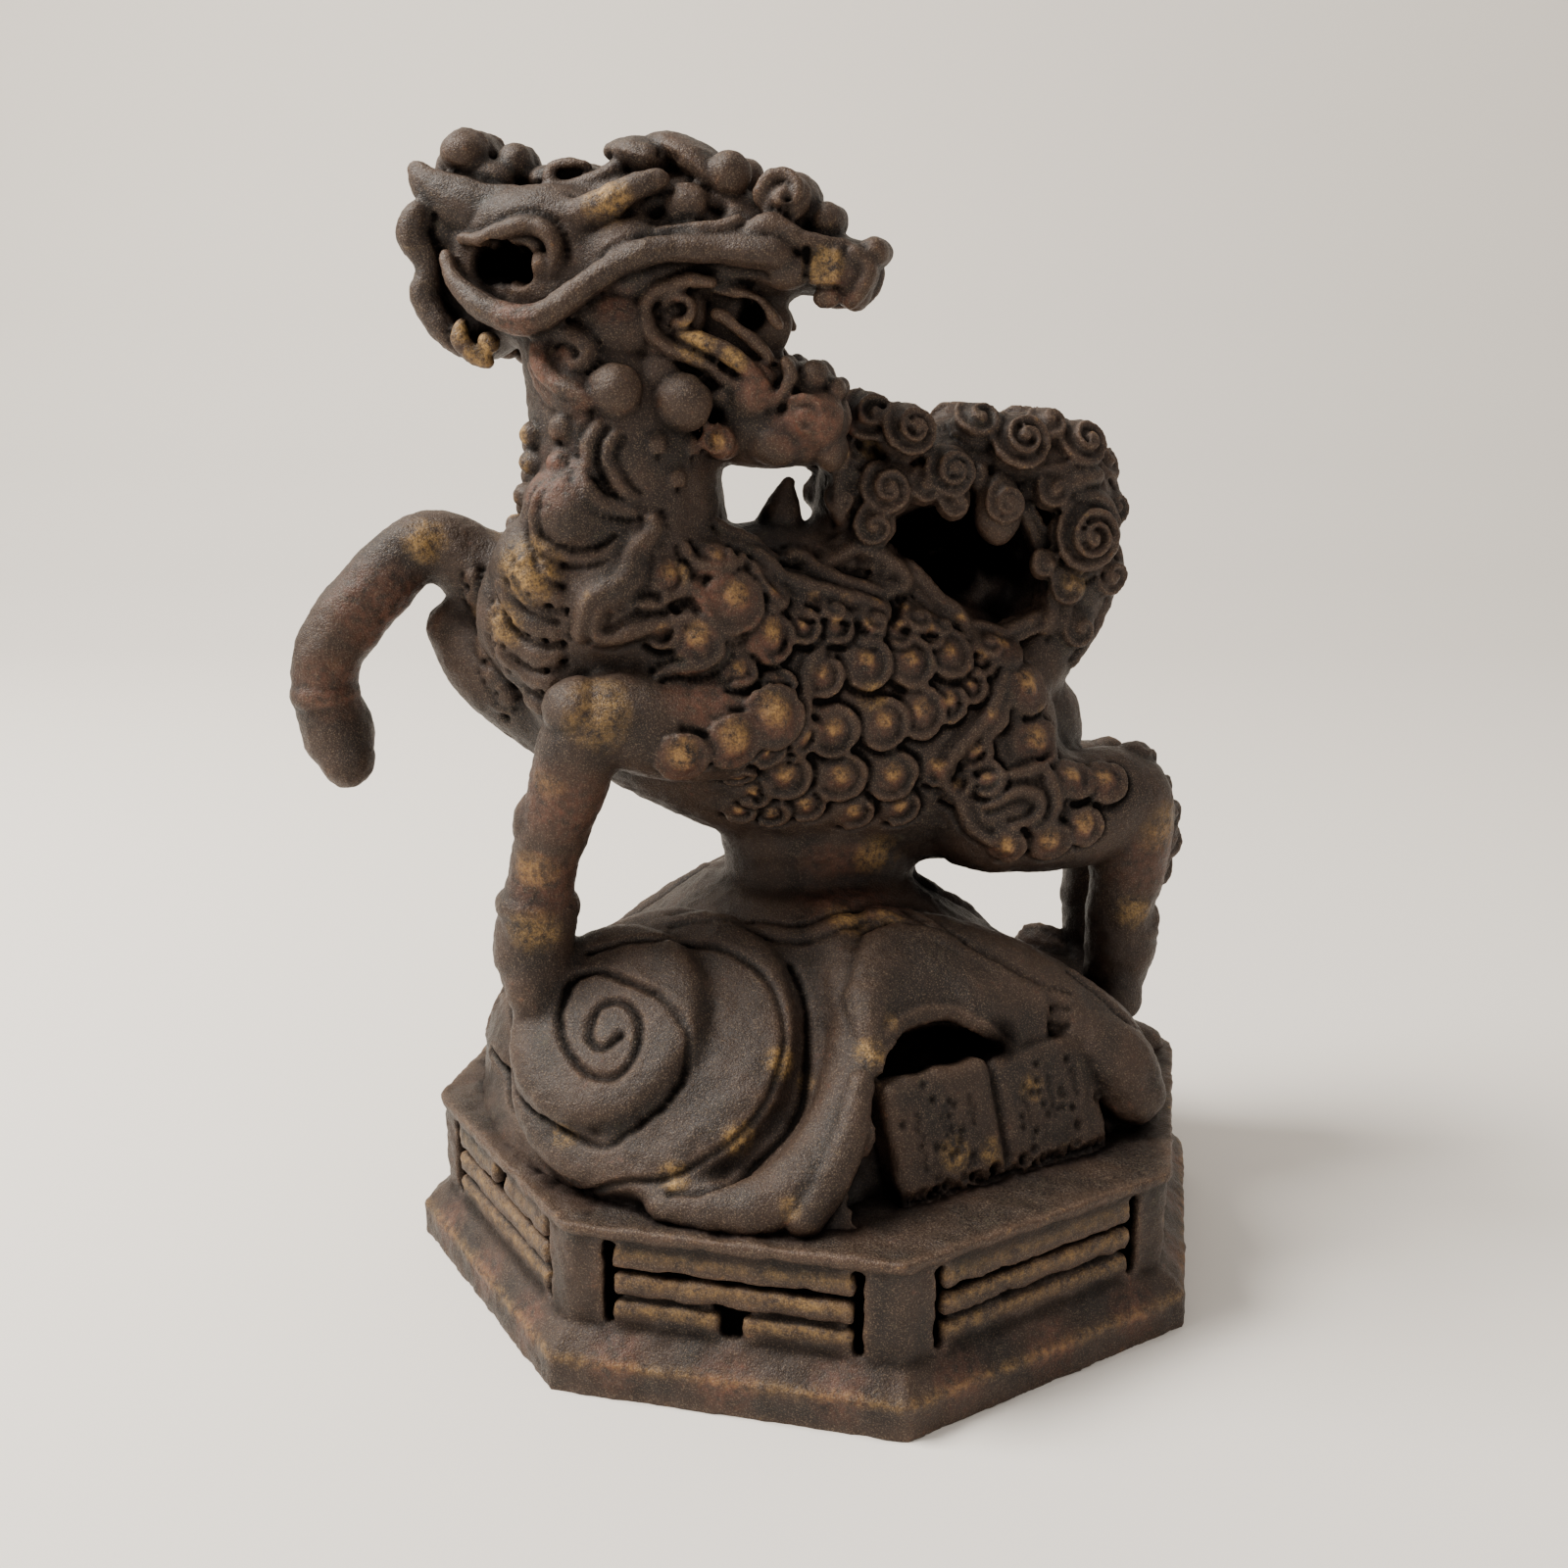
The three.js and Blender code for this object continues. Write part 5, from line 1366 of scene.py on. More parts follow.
rows = smooth_line(ARCH)
strand(form, [row[:3] for row in rows], [row[3] for row in rows], [ARCH_OUT] * len(rows), 1.2, 12)
roots = smooth_line(SHEET_ROOTS, SHEET_STEP)
for index, root in enumerate(roots):
    share = SHEET_START + (1 - SHEET_START) * index / (len(roots) - 1)
    edge = Vector(rows[int(share * (len(rows) - 1))][:3])
    bulge = (Vector(root) + edge) / 2 + UP * 0.5
    limb(form, [(*root, 2.6), (*bulge, 2), (*(edge - UP * 0.4), 1)], ARCH_OUT, 0.9, 10)
limb(form, ARCH_FOOT)
limb(form, TONGUE_END, TONGUE_END_OUT, 0.9)
print("sheet of", len(roots), "limbs")

# %% [markdown]
# ## The clouds behind
#
# The photograph doesn't show the back. It could stay a bare heap, but the object is seen from all
# sides. So it gets what such clouds have, made a little plainer: one scroll, a few snail curls
# and waves that run down the heap.

# %% Back clouds
BACK_ACROSS = UP.cross(BACK_OUT).normalized()
BACK_RISE = BACK_OUT.cross(BACK_ACROSS)
SPIRAL_STEPS = 59
BACK_SPIRALS = (
    # radii, turns, start, inner share, reach, depth
    ((11, 10), 2.2, 0.6, 0.18, 1.1, 1),
    ((14.6, 13.2), 0.85, 0.4, 0.97, 1, 0.9),
)
SNAIL_CURLS = (
    # centre, the way it faces, radius, rise, turns
    ((27, 29, 25), (0.4, 0.7, 0.6), 6, 2.6, 1.6),
    ((-37, -10, 26), (-0.8, -0.4, 0.45), 5.4, 2.4, 1.6),
    ((-37, 6, 23), (-0.8, 0.4, 0.45), 5, 2.2, 1.5),
)

for (wide, high), turns, start, inner, reach, depth in BACK_SPIRALS:
    places = []
    for step in range(SPIRAL_STEPS + 1):
        share = step / SPIRAL_STEPS
        angle = start + turns * math.tau * share
        inward = 1 - (1 - inner) * share
        place = BACK_CENTRE + BACK_ACROSS * wide * inward * math.cos(angle)
        places.append(place + BACK_RISE * high * inward * math.sin(angle) + BACK_OUT * 2)
    groove(places, reach, depth)
for centre, out, radius, rise, turns in SNAIL_CURLS:
    curl(form, Vector(centre), Vector(out), radius, rise, turns, 0.7, 60)
print("back spirals", len(BACK_SPIRALS), "and curls", len(SNAIL_CURLS))

# %% Waves behind
WAVE_TURNS = ((62, 1), (80, 0.9), (130, 1), (152, 0.8), (172, 0.9), (20, 0.9), (36, 1))
WAVE_STEPS = 6
WAVE_FALL = 27

for turn, length in WAVE_TURNS:
    wave = []
    for step in range(WAVE_STEPS + 1):
        share = step / WAVE_STEPS
        angle = math.radians(turn + 14 * math.sin(share * 2.6))
        radius = 13 + WAVE_FALL * share * length
        width = 0.7 + 0.6 * math.sin(math.pi * share)
        x = radius * math.cos(angle) + HEAP_SHIFT
        wave.append((x, radius * math.sin(angle), 45 - WAVE_FALL * share * length, width))
    pressed(form, wave, 0.8, 0.2, upright)
print("waves behind", len(WAVE_TURNS))

# %% [markdown]
# ## Tablets
#
# Two thin books lean side by side on the clouds. Each is a bevelled block. The columns on them
# are too worn to read, so they are shallow wavering strokes and scattered pits, and their lower
# edges are eaten away. All of that could be noise in the finish, but then it would cast no shade.

# %% Tablets
TABLET_SIZE = (14.2, 14.5, 4.6)
TABLET_GAP = 0.2
TABLET_ROUND = 1.3
COLUMNS = (-1, 0, 1)
STROKE_STEPS = 15
EATEN_STEPS = 39
PIT_COUNT = 26

for hand in (-1, 1):
    wide, high, thick = TABLET_SIZE
    board = bmesh.new()
    bmesh.ops.create_cube(board, size=1, matrix=Matrix.Diagonal((wide, high, thick, 1)))
    bmesh.ops.bevel(
        board, geom=board.edges[:], offset=TABLET_ROUND, offset_type="OFFSET", segments=3, profile=0.5,
        affect="EDGES", material=-1,
    )
    centre = TABLET_FOOT + TABLET_ACROSS * hand * (wide + TABLET_GAP) / 2
    centre = centre + TABLET_RISE * high / 2 - TABLET_OUT * thick / 2
    placing = basis(centre, TABLET_ACROSS, TABLET_RISE, TABLET_OUT)
    bmesh.ops.transform(board, matrix=placing, verts=board.verts)
    add(form, board)
    front = centre + TABLET_OUT * thick / 2
    for column in COLUMNS:
        length = high * (0.3 - 0.1 * column)
        for step in range(STROKE_STEPS + 1):
            share = step / STROKE_STEPS - 0.5
            waver = noise.noise(Vector((share * 6, column, hand))) * 0.8
            place = front + TABLET_ACROSS * (column * wide / 4 + waver)
            scores.append((place + TABLET_RISE * (length * share + column + 1), 0.7, 0.22))
    for step in range(EATEN_STEPS + 1):
        place = front + TABLET_ACROSS * (step / EATEN_STEPS - 0.5) * wide
        place -= TABLET_RISE * (high / 2 - 1.2 - 1.6 * noise.noise(Vector((step * 0.9, hand * 5, 0))))
        scores.append((place, 1.3, 1.1 + noise.noise(Vector((step * 0.6, hand, 3)))))
    for step in range(PIT_COUNT):
        across = noise.noise(Vector((step * 1.7, hand, 9))) * wide * 0.8
        rise = noise.noise(Vector((step * 2.3, hand, 17))) * high * 0.8
        scores.append((front + TABLET_ACROSS * across + TABLET_RISE * rise, 0.9, 0.35))
print("marks", len(scores))

# %% The strip between the tablets
STRIP_SIZE = (2, 12, 3.6)
strip = bmesh.new()
bmesh.ops.create_cube(strip, size=1, matrix=Matrix.Diagonal((*STRIP_SIZE, 1)))
centre = TABLET_FOOT + TABLET_RISE * 6.5 - TABLET_OUT * 2.6
bmesh.ops.transform(strip, matrix=basis(centre, TABLET_ACROSS, TABLET_RISE, TABLET_OUT), verts=strip.verts)
add(form, strip)
print("all wax", len(form.verts), "points")

# %% [markdown]
# ## Fusing and scoring
#
# All the wax becomes one skin, as the strands do in a mould. Booleans would keep hard seams where
# the shells cross, so the skin is made of small cubes of space instead and smoothed once. Grooves
# are then pressed in point by point, as a tool would: the nearer a point lies to a groove's
# middle, the deeper it is pushed.

# %% Fusing
FINE = 0.31
COARSE = 0.85

figure_mesh = fused(form, FINE, 1)
coarse_figure = fused(form, COARSE, 1)
form.free()
print("figure", len(figure_mesh.vertices), "points", len(scores), "marks")

# %% Scoring
def points_of(mesh):
    """A mesh's points as rows of three numbers."""
    values = numpy.empty(len(mesh.vertices) * 3, numpy.float32)
    mesh.vertices.foreach_get("co", values)
    return values.reshape(-1, 3)


def normals_of(mesh):
    """The way that the skin faces at each point."""
    values = numpy.empty(len(mesh.vertices) * 3, numpy.float32)
    mesh.vertex_normals.foreach_get("vector", values)
    return values.reshape(-1, 3)


def put_points(mesh, points):
    """Move a mesh's points to new places."""
    mesh.vertices.foreach_set("co", points.astype(numpy.float32).ravel())
    mesh.update()


def tree_of(places):
    """A quick finder of the nearest of many places."""
    tree = KDTree(len(places))
    for index, place in enumerate(places):
        tree.insert(place, index)
    tree.balance()
    return tree


def cut_scores(mesh, marks):
    """Push in the points that lie within reach of a mark."""
    tree = tree_of([mark[0] for mark in marks])
    points = points_of(mesh)
    normals = normals_of(mesh)
    for index, point in enumerate(points):
        near, distance = tree.find(point)[1:]
        reach, depth = marks[near][1:]
        if distance < reach:
            points[index] -= normals[index] * depth * (1 - (distance / reach) ** 2) ** 2
    put_points(mesh, points)


cut_scores(figure_mesh, scores)

# %% Deep hollows of the head
DEEP_HOLLOWS = [
    ((-33, -18.2, 115.2), 2.4, 3), ((-31.2, -18.8, 115.4), 2.9, 4.2), ((-29, -19, 115.2), 2.6, 3.8),
    ((-30.6, -16.6, 115), 2.6, 3), ((-8, -15, 120.9), 1.6, 1.2), ((-14.6, -15.6, 120.4), 1.5, 0.8),
    ((-0.6, -15, 121.4), 1, 1), ((-5, -14, 110.4), 2.4, 1),
]

deep = [(on_side(place, side), reach, depth) for side in BOTH_SIDES for place, reach, depth in DEEP_HOLLOWS]
cut_scores(figure_mesh, deep)
print("hollows", len(deep))

# %% [markdown]
# ## Trigram bars
#
# Each of the eight faces of the base has a sunk panel with three raised bars, whole or broken in
# the middle. The solid has them as crisp boxes. On the real one they are blunt and run full at
# their ends, so a bevelled bar is laid over each before the base is fused.

# %% Trigram bars
# Whole bars are true. They run from the lowest up, and the faces round from the front.
TRIGRAMS = [
    (False, True, True), (True, True, True), (True, False, True), (True, False, False),
    (False, False, False), (False, False, True), (False, True, False), (True, True, False),
]
DRUM_OUT = 43.4
PANEL_FOOT = 7
BAR_PITCH = 3.2
BAR_LENGTH = 25.6
BAR_DEPTH = 2.2
BAR_HEIGHT = 2.35
BAR_BREAK = 2.4
BAR_ROUND = 0.5
BASE_GRAIN = 0.36
BASE_ROUNDS = 2

for face, trigram in enumerate(TRIGRAMS):
    turn = Matrix.Rotation(math.tau * face / len(TRIGRAMS), 4, "Z")
    for level, whole in enumerate(trigram):
        height = PANEL_FOOT + (level + 0.5) * BAR_PITCH
        length = BAR_LENGTH if whole else (BAR_LENGTH - BAR_BREAK) / 2
        for shift in (0,) if whole else (-1, 1):
            place = Vector((shift * (length + BAR_BREAK) / 2, -DRUM_OUT + 1, height))
            placing = Matrix.Translation(place) @ Matrix.Diagonal((length, BAR_DEPTH, BAR_HEIGHT, 1))
            bar = bmesh.new()
            bmesh.ops.create_cube(bar, size=1, matrix=placing)
            bmesh.ops.bevel(
                bar, geom=bar.edges[:], offset=BAR_ROUND, offset_type="OFFSET", segments=2, profile=0.5,
                affect="EDGES", material=-1,
            )
            bmesh.ops.transform(bar, matrix=turn, verts=bar.verts)
            add(base_core, bar)
base_mesh = fused(base_core, BASE_GRAIN, BASE_ROUNDS)
coarse_base = fused(base_core, COARSE, 0)
base_core.free()
print("base", len(base_mesh.vertices), "points")

# %% [markdown]
# ## What stands proud
#
# Hands polish what stands proud, and the hollows are painted dark as shade. A shader can't know
# which points are proud, so it is measured here: a point that lies outside a much softened copy of
# the skin is proud, and one inside it is hollow. The numbers are kept on the points as attributes.

# %% Proud and hollow points
SOFT_ROUNDS = 45
PROUD_MOST = 0.38


def proudness(mesh):
    """From -1 in a hollow to 1 on a ridge."""
    copy = bpy.data.objects.new("soft", mesh.copy())
    bpy.context.scene.collection.objects.link(copy)
    soft = with_modifiers(copy, [("SMOOTH", {"factor": 0.5, "iterations": SOFT_ROUNDS})])
    gap = points_of(mesh) - points_of(soft)
    bpy.data.meshes.remove(soft)
    return numpy.clip((gap * normals_of(mesh)).sum(axis=1) / PROUD_MOST, -1, 1)


figure_proud = proudness(figure_mesh)
base_proud = proudness(base_mesh)
print("proud points", int((figure_proud > 0.3).sum()), int((base_proud > 0.3).sum()))

# %% [markdown]
# ## The cast skin
#
# Fine sand and handling leave the real skin uneven: low lumps, pits and grit. Bump in the finish
# alone would leave the outline too clean, so the larger unevenness is in the points. The edges of
# the base are a little swollen first, as metal is where it filled the mould's corners.

# %% Relief of the cast skin
LUMP_SIZE = 2.6
LUMP_DEPTH = 0.2
PIT_SIZE = 1.1
PIT_DEPTH = 0.1
GRIT_SIZE = 0.55
GRIT_DEPTH = 0.05
EDGE_SWELL = 0.12
BASE_SHARE = 1.3


def roughen(mesh, share=1.0):
    """Uneven the skin a little, and keep it on or above the floor."""
    points = points_of(mesh)
    normals = normals_of(mesh)
    for index, point in enumerate(points):
        place = Vector(point)
        lump = noise.noise(place / LUMP_SIZE) * LUMP_DEPTH
        pit = noise.noise(place / PIT_SIZE) * PIT_DEPTH
        grit = noise.noise(place / GRIT_SIZE) * GRIT_DEPTH
        points[index] += normals[index] * (lump + pit + grit) * share
    points[:, 2] = numpy.maximum(points[:, 2], 0)
    put_points(mesh, points)


swelling = numpy.clip(base_proud, 0, 1)[:, None] * normals_of(base_mesh) * EDGE_SWELL
put_points(base_mesh, points_of(base_mesh) + swelling)
roughen(figure_mesh)
roughen(base_mesh, BASE_SHARE)
print("roughened", len(figure_mesh.vertices) + len(base_mesh.vertices), "points")

# %% [markdown]
# ## How open each place is
#
# The colour is darkened where little light can reach, as painted shade. That could be left to the
# lamps alone, but then the hollows would stay lighter. So short rays are sent out from each point
# of a coarse skin, and the share that gets away says how open the place is.

# %% How open each place is
RAY_COUNT = 26
RAY_REACH = 14
RAY_START = 1.0
RAY_LEAST = 0.1
GOLDEN_TURN = math.pi * (3 - math.sqrt(5))
NEAR_COUNT = 3

rays = []
for index in range(RAY_COUNT):
    height = 1 - 2 * (index + 0.5) / RAY_COUNT
    flat = math.sqrt(1 - height**2)
    rays.append(Vector((flat * math.cos(GOLDEN_TURN * index), flat * math.sin(GOLDEN_TURN * index), height)))

coarse = bmesh.new()
coarse.from_mesh(coarse_figure)
coarse.from_mesh(coarse_base)
coarse_skin = BVHTree.FromBMesh(coarse)
coarse_tree = tree_of([vert.co for vert in coarse.verts])
open_values = []
for vert in coarse.verts:
    start = vert.co + vert.normal * RAY_START
    free = 0
    total = 0
    for ray in rays:
        facing = ray.dot(vert.normal)
        if facing > RAY_LEAST:
            total += facing
            free += facing * (coarse_skin.ray_cast(start, ray, RAY_REACH)[0] is None)
    open_values.append(free / total)
coarse.free()
print("openness from", min(open_values), "to", max(open_values))


def openness(mesh):
    """The share of the sky that each point sees, from the nearest coarse points."""
    values = numpy.zeros(len(mesh.vertices), numpy.float32)
    for index, point in enumerate(points_of(mesh)):
        found = coarse_tree.find_n(point, NEAR_COUNT)
        values[index] = sum(open_values[near[1]] for near in found) / NEAR_COUNT
    return values


# %% [markdown]
# ## Where gold, copper and painted shade show
#
# On the real one gold shows at knees, bosses and ridges, and copper red on the legs and the jaw.
# Shade is painted thick in the tail's hollow, the ears and under the arch. Noise alone would put
# them anywhere. So each is a list of places with a reach, read off the figure.

# %% Gold
# Places of the body are along, out and up, those of the head and the clouds x, y and z.
GILT_BODY = [
    (-29.6, 14, 69, 4.6), (-33.6, 12.5, 62, 3), (-36, 11, 52, 3), (-36.6, 11, 45, 3.4),
    (4.4, 9, 48.4, 3.4), (8, 8.6, 47.2, 2.4), (-35.2, 8, 84, 4.2), (-37.5, 5, 78, 3), (38.6, 12, 51, 4),
    (36.8, 12, 40, 2.6), (-56, -8, 73, 3), (-45, -6, 86, 3), (29, 6.5, 80, 2.4), (4.5, 4, 96, 2),
    (24.4, 13, 66, 2), (-20, 12.5, 84, 2), (-31, 12.5, 82, 1.6), (2, 12.6, 69, 2),
]
GILT_HEAD = [
    (3.2, -14.6, 115, 2.4), (-10, -17.6, 107.6, 2.6), (-6, -17, 105.6, 1.8), (-18.1, -18.6, 102.6, 1.8),
    (-33.4, -19, 106.6, 2.6), (-36, -18.4, 108.6, 1.6), (-19, -18.4, 121.6, 3), (-8, -16.4, 97.2, 1.2),
    (-29, -18, 119.6, 1.6),
]
GILT_CLOUDS = [
    (6.4, -13.4, 43.4, 3.2), (10.6, -11.8, 42.8, 2.2), (11.4, -28.4, 33.8, 2), (12.6, -24.8, 35.8, 1.6),
    (2.2, -30, 32.6, 2.2), (-0.6, -36.6, 26.4, 2.4), (-7, -39.8, 23, 2), (-20, -36.6, 25, 2),
    (28.7, -19, 27.4, 2), (21, -27.6, 22.8, 2.2), (24.8, -24.8, 22.2, 1.8), (5.6, -40.4, 21.4, 1.6),
    (4.6, -28.6, 29.9, 1.4),
]

# %% Copper
COPPER_BODY = [
    (-18, 14, 70, 6), (-12, 14.4, 68, 4), (-33, 12, 60, 6), (-35, 11, 50, 5), (-50, -7, 78, 7),
    (-56, -7, 70, 5), (-16, 13, 82, 7), (-10, 13, 76, 4), (0, 12, 47, 8), (38, 11, 47, 6),
    (-33, 8, 94, 5),
]
COPPER_HEAD = [
    (1.4, -14.4, 99.4, 5), (-8, -16, 97, 3), (-25.6, -20.8, 104.6, 4), (-21, -20.4, 101.6, 3),
    (-3.6, -15.6, 103, 3), (-18.4, -18, 111.2, 3), (-28, -22, 110, 3), (4.6, -12, 113, 3),
]

# %% Painted shade
# Painted shade: spots darkened near black where shade falls, in the tail's hollow, round the ears and mouth,
# under the jaw and under the arch.
SHADE_BODY = [
    (6.5, -1.6, 84.6, 4.6), (10.4, -1.8, 86.4, 5), (14.6, -2, 86.6, 5), (18.8, -2, 85.6, 5),
    (22, -1.4, 82.6, 4), (12, -1, 82, 4.4), (17, -1, 81, 4.4), (8, 1, 82, 3),
]
SHADE_HEAD = [
    (-32.4, -16.6, 115.2, 3), (-30.4, -16.6, 115.4, 3.4), (-28.4, -17, 115.2, 2.6), (-5, -12.6, 110, 2),
    (-14.4, -14.6, 104.6, 2), (-8.6, -14, 100, 2),
]
SHADE_CLOUDS = [
    (18, -20, 31.6, 4), (23, -17, 31.6, 4), (14.6, -24, 31, 3.4), (10.4, -33.4, 23, 3), (14, -33, 18.8, 3),
    (-21.6, -17, 98.8, 3), (-12, -14, 98, 3),
]

# %% Gathering the places
shade_spots = []
SPOT_LISTS = (
    (gilt_spots, GILT_BODY, GILT_HEAD, GILT_CLOUDS),
    (copper_spots, COPPER_BODY, COPPER_HEAD, []),
    (shade_spots, SHADE_BODY, SHADE_HEAD, SHADE_CLOUDS),
)
for spots, body_places, head_places, cloud_places in SPOT_LISTS:
    for along, out, height, reach in body_places:
        spots += [(body(along, out * side, height), reach) for side in BOTH_SIDES]
    for *place, reach in head_places:
        spots += [(on_side(place, side), reach) for side in BOTH_SIDES]
    spots += [(Vector(place), reach) for *place, reach in cloud_places]
    print("spots", len(spots))

# %% The base's places
# Painted shade fills the panels, gold lines their bars and the lip, and copper shows along the lip.
LIP_RADIUS = 46
LIP_HEIGHT = 4
PANEL_FLOOR_OUT = 41.6
PANEL_HALF = 14
PANEL_HEIGHTS = range(7, 18)
BAR_HEIGHTS = (9.2, 12.4, 15.6)
COPPER_PLACES = 24
base_copper = []
base_gilt = []
base_shade = []

for face in range(len(TRIGRAMS)):
    angle = math.tau * face / len(TRIGRAMS)
    out = Vector((math.cos(angle), math.sin(angle), 0))
    along = UP.cross(out)
    for step in range(-PANEL_HALF, PANEL_HALF + 1):
        for height in PANEL_HEIGHTS:
            base_shade.append((out * PANEL_FLOOR_OUT + along * step + UP * height, 1.15))
        for height in BAR_HEIGHTS:
            base_gilt.append((out * (DRUM_OUT + 0.2) + along * step * 0.9 + UP * height, 1))
        base_gilt.append((out * LIP_RADIUS + along * step * 1.3 + UP * LIP_HEIGHT, 0.9))
for index in range(COPPER_PLACES):
    angle = math.tau * index / COPPER_PLACES
    edge = Vector((math.cos(angle), math.sin(angle), 0)) * LIP_RADIUS
    base_copper.append((edge + UP * LIP_HEIGHT, 4))
print("base spots", len(base_shade), len(base_gilt), len(base_copper))

# %% Measuring
MARK_NAMES = ("proud", "upward", "open", "gilt", "copper", "painted_shade")
BASE_GILT_SHARE = 0.4


def spot_strength(mesh, spots):
    """How near each point lies to the nearest spot of a list of (place, reach), from 0 to 1."""
    tree = tree_of([spot[0] for spot in spots])
    values = numpy.zeros(len(mesh.vertices), numpy.float32)
    for index, point in enumerate(points_of(mesh)):
        near, distance = tree.find(point)[1:]
        reach = spots[near][1]
        if distance < reach:
            values[index] = 1 - (distance / reach) ** 2
    return values


def marks_of(mesh, proud, gilt, copper, painted_shade, gilt_share=1.0):
    """The six numbers of each point, in the order of their names."""
    upward = numpy.clip(normals_of(mesh)[:, 2], 0, 1)
    spots = [spot_strength(mesh, places) for places in (gilt, copper, painted_shade)]
    spots[0] *= gilt_share
    return numpy.stack([proud, upward, openness(mesh), *spots])


figure_marks = marks_of(figure_mesh, figure_proud, gilt_spots, copper_spots, shade_spots)
base_marks = marks_of(base_mesh, base_proud, base_gilt, base_copper, base_shade, BASE_GILT_SHARE)
for name, values in zip(MARK_NAMES, figure_marks):
    print(name, float(values.mean()))

# %% [markdown]
# ## Thinning and dividing
#
# The real casting is one piece, and so is its skin. But flat stretches don't need as many points
# as the curls, so both skins are thinned. And one mesh of everything would be too heavy to
# exchange, so the figure is cut level into a few pieces. The cuts are closed, and each point
# keeps the normal that it had in the whole skin, so no seam shows.

# %% Pieces
FIGURE_KEPT = 0.62
BASE_KEPT = 0.32
CUT_HEIGHTS = (27.5, 42, 62, 78, 100)
NAMES = ("lower_clouds", "upper_clouds", "belly", "flanks", "neck_and_tail", "head")


def thinned(mesh, kept):
    """A copy of a mesh with a share of its triangles."""
    made = bpy.data.objects.new("thin", mesh.copy())
    bpy.context.scene.collection.objects.link(made)
    return with_modifiers(made, [("DECIMATE", {"ratio": kept})])


def sliced(mesh, low, high):
    """The closed part of a mesh between two heights. None stands for no cut."""
    form = bmesh.new()
    form.from_mesh(mesh)
    for height, keep_above in ((low, True), (high, False)):
        if height is not None:
            cut_level(form, height, keep_above)
    bmesh.ops.recalc_face_normals(form, faces=form.faces)
    piece = bpy.data.meshes.new("slice")
    form.to_mesh(piece)
    form.free()
    return piece


def finish_piece(mesh, name, tree, normals, marks):
    """One piece in metres that rides on the root, with the normals and marks of the whole skin."""
    nearest = numpy.array([tree.find(point)[1] for point in points_of(mesh)])
    for mark, values in zip(MARK_NAMES, marks):
        attribute = mesh.attributes.new(mark, "FLOAT", "POINT")
        attribute.data.foreach_set("value", values[nearest].astype(numpy.float32))
    mesh.shade_smooth()
    mesh.normals_split_custom_set_from_vertices(normals[nearest].tolist())
    mesh.transform(Matrix.Scale(MM, 4))
    piece = bpy.data.objects.new(name, mesh)
    bpy.context.scene.collection.objects.link(piece)
    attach(piece, "root")
    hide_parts("qilin_figure")
    print(name, len(mesh.polygons), "faces")
    return piece


# %% Dividing
pieces = []
whole_tree = tree_of(points_of(figure_mesh))
normals = normals_of(figure_mesh)
thin_figure = thinned(figure_mesh, FIGURE_KEPT)
levels = (None, *CUT_HEIGHTS, None)
for name, low, high in zip(NAMES, levels, levels[1:]):
    pieces.append(finish_piece(sliced(thin_figure, low, high), name, whole_tree, normals, figure_marks))
base_tree = tree_of(points_of(base_mesh))
thin_base = thinned(base_mesh, BASE_KEPT)
pieces.append(finish_piece(thin_base, "base", base_tree, normals_of(base_mesh), base_marks))

# %% [markdown]
# ## Patinated cast brass
#
# The metal is brass, cast in fine sand and darkened with a brown-black patina. Patina is an
# oxide layer, so most of the surface answers light as a dull solid does, with a soft sheen. Only
# where it is rubbed away does metal shine through, gold where it is brass and redder where the
# patina is thin. Shade in the hollows and pale glints of the sand are painted into the colour as
# well. It could be several materials side by side, but patina, wear, dust and painted shade fade
# into each other. So one shader lays them over each other, by the marks on the points and by noise.

# %% Colours
def linear(code):
    """An sRGB hex colour as the linear colour that a shader works in."""
    parts = [int(code[place : place + 2], 16) / 255 for place in (1, 3, 5)]
    return tuple(c / 12.92 if c <= 0.04045 else ((c + 0.055) / 1.055) ** 2.4 for c in parts) + (1,)


SHADE_BLACK = linear("#050404")  # painted shade in hollows, closed places and shadow spots, all but black
PATINA_DARK = linear("#1b1310")  # the patina where it is thick
PATINA_BROWN = linear("#2e211a")  # the patina in broad clouds where it is thinner
OLIVE = linear("#3b382a")  # a greenish cast in blotches
RUBBED = linear("#503a2c")  # the lighter brown of edges that hands have rubbed
COPPER = linear("#704433")  # the red of metal under the thinnest patina
DUST_AND_GLINT = linear("#72614f")  # pale dust and dried polish on tops, and pale specks painted as glints
GOLD = linear("#b8935a")  # bare worn brass on the highest places

# %% Nodes
brass = bpy.data.materials.new("patinated_brass")
brass.use_nodes = True
tree = brass.node_tree
shader = tree.nodes["Principled BSDF"]


def add_node(kind, result, settings=None, links=None):
    """Add a node, set and link its sockets and properties, and give the socket of its result."""
    node = tree.nodes.new(kind)
    for key, value in (settings or {}).items():
        if isinstance(key, str) and hasattr(node, key):
            setattr(node, key, value)
        else:
            node.inputs[key].default_value = value
    for key, source in (links or {}).items():
        tree.links.new(source, node.inputs[key])
    return node.outputs[result]


# %% What the finish reads
PATTERNS = {
    # name: width of its lumps in millimetres, detail, roughness
    "grain": (0.3, 3, 0.65),  # the grains of fine casting sand
    "speck": (0.16, 1, 0.5),  # specks of dust and painted glints of about 0.05 mm, drawn three times as coarse so that they show
    "blotch": (1.1, 4, 0.7),  # wear that hands leave between scales and curls
    "cloud": (7, 2, 0.5),  # broad changes of the patina
}

place = add_node("ShaderNodeTexCoord", "Object")
sockets = {name: add_node("ShaderNodeAttribute", "Fac", {"attribute_name": name}) for name in MARK_NAMES}
for name, (size, detail, rough) in PATTERNS.items():
    settings = {"Scale": 1 / (size * MM), "Detail": detail, "Roughness": rough}
    sockets[name] = add_node("ShaderNodeTexNoise", "Fac", settings, {"Vector": place})
print("the finish reads", *sockets)

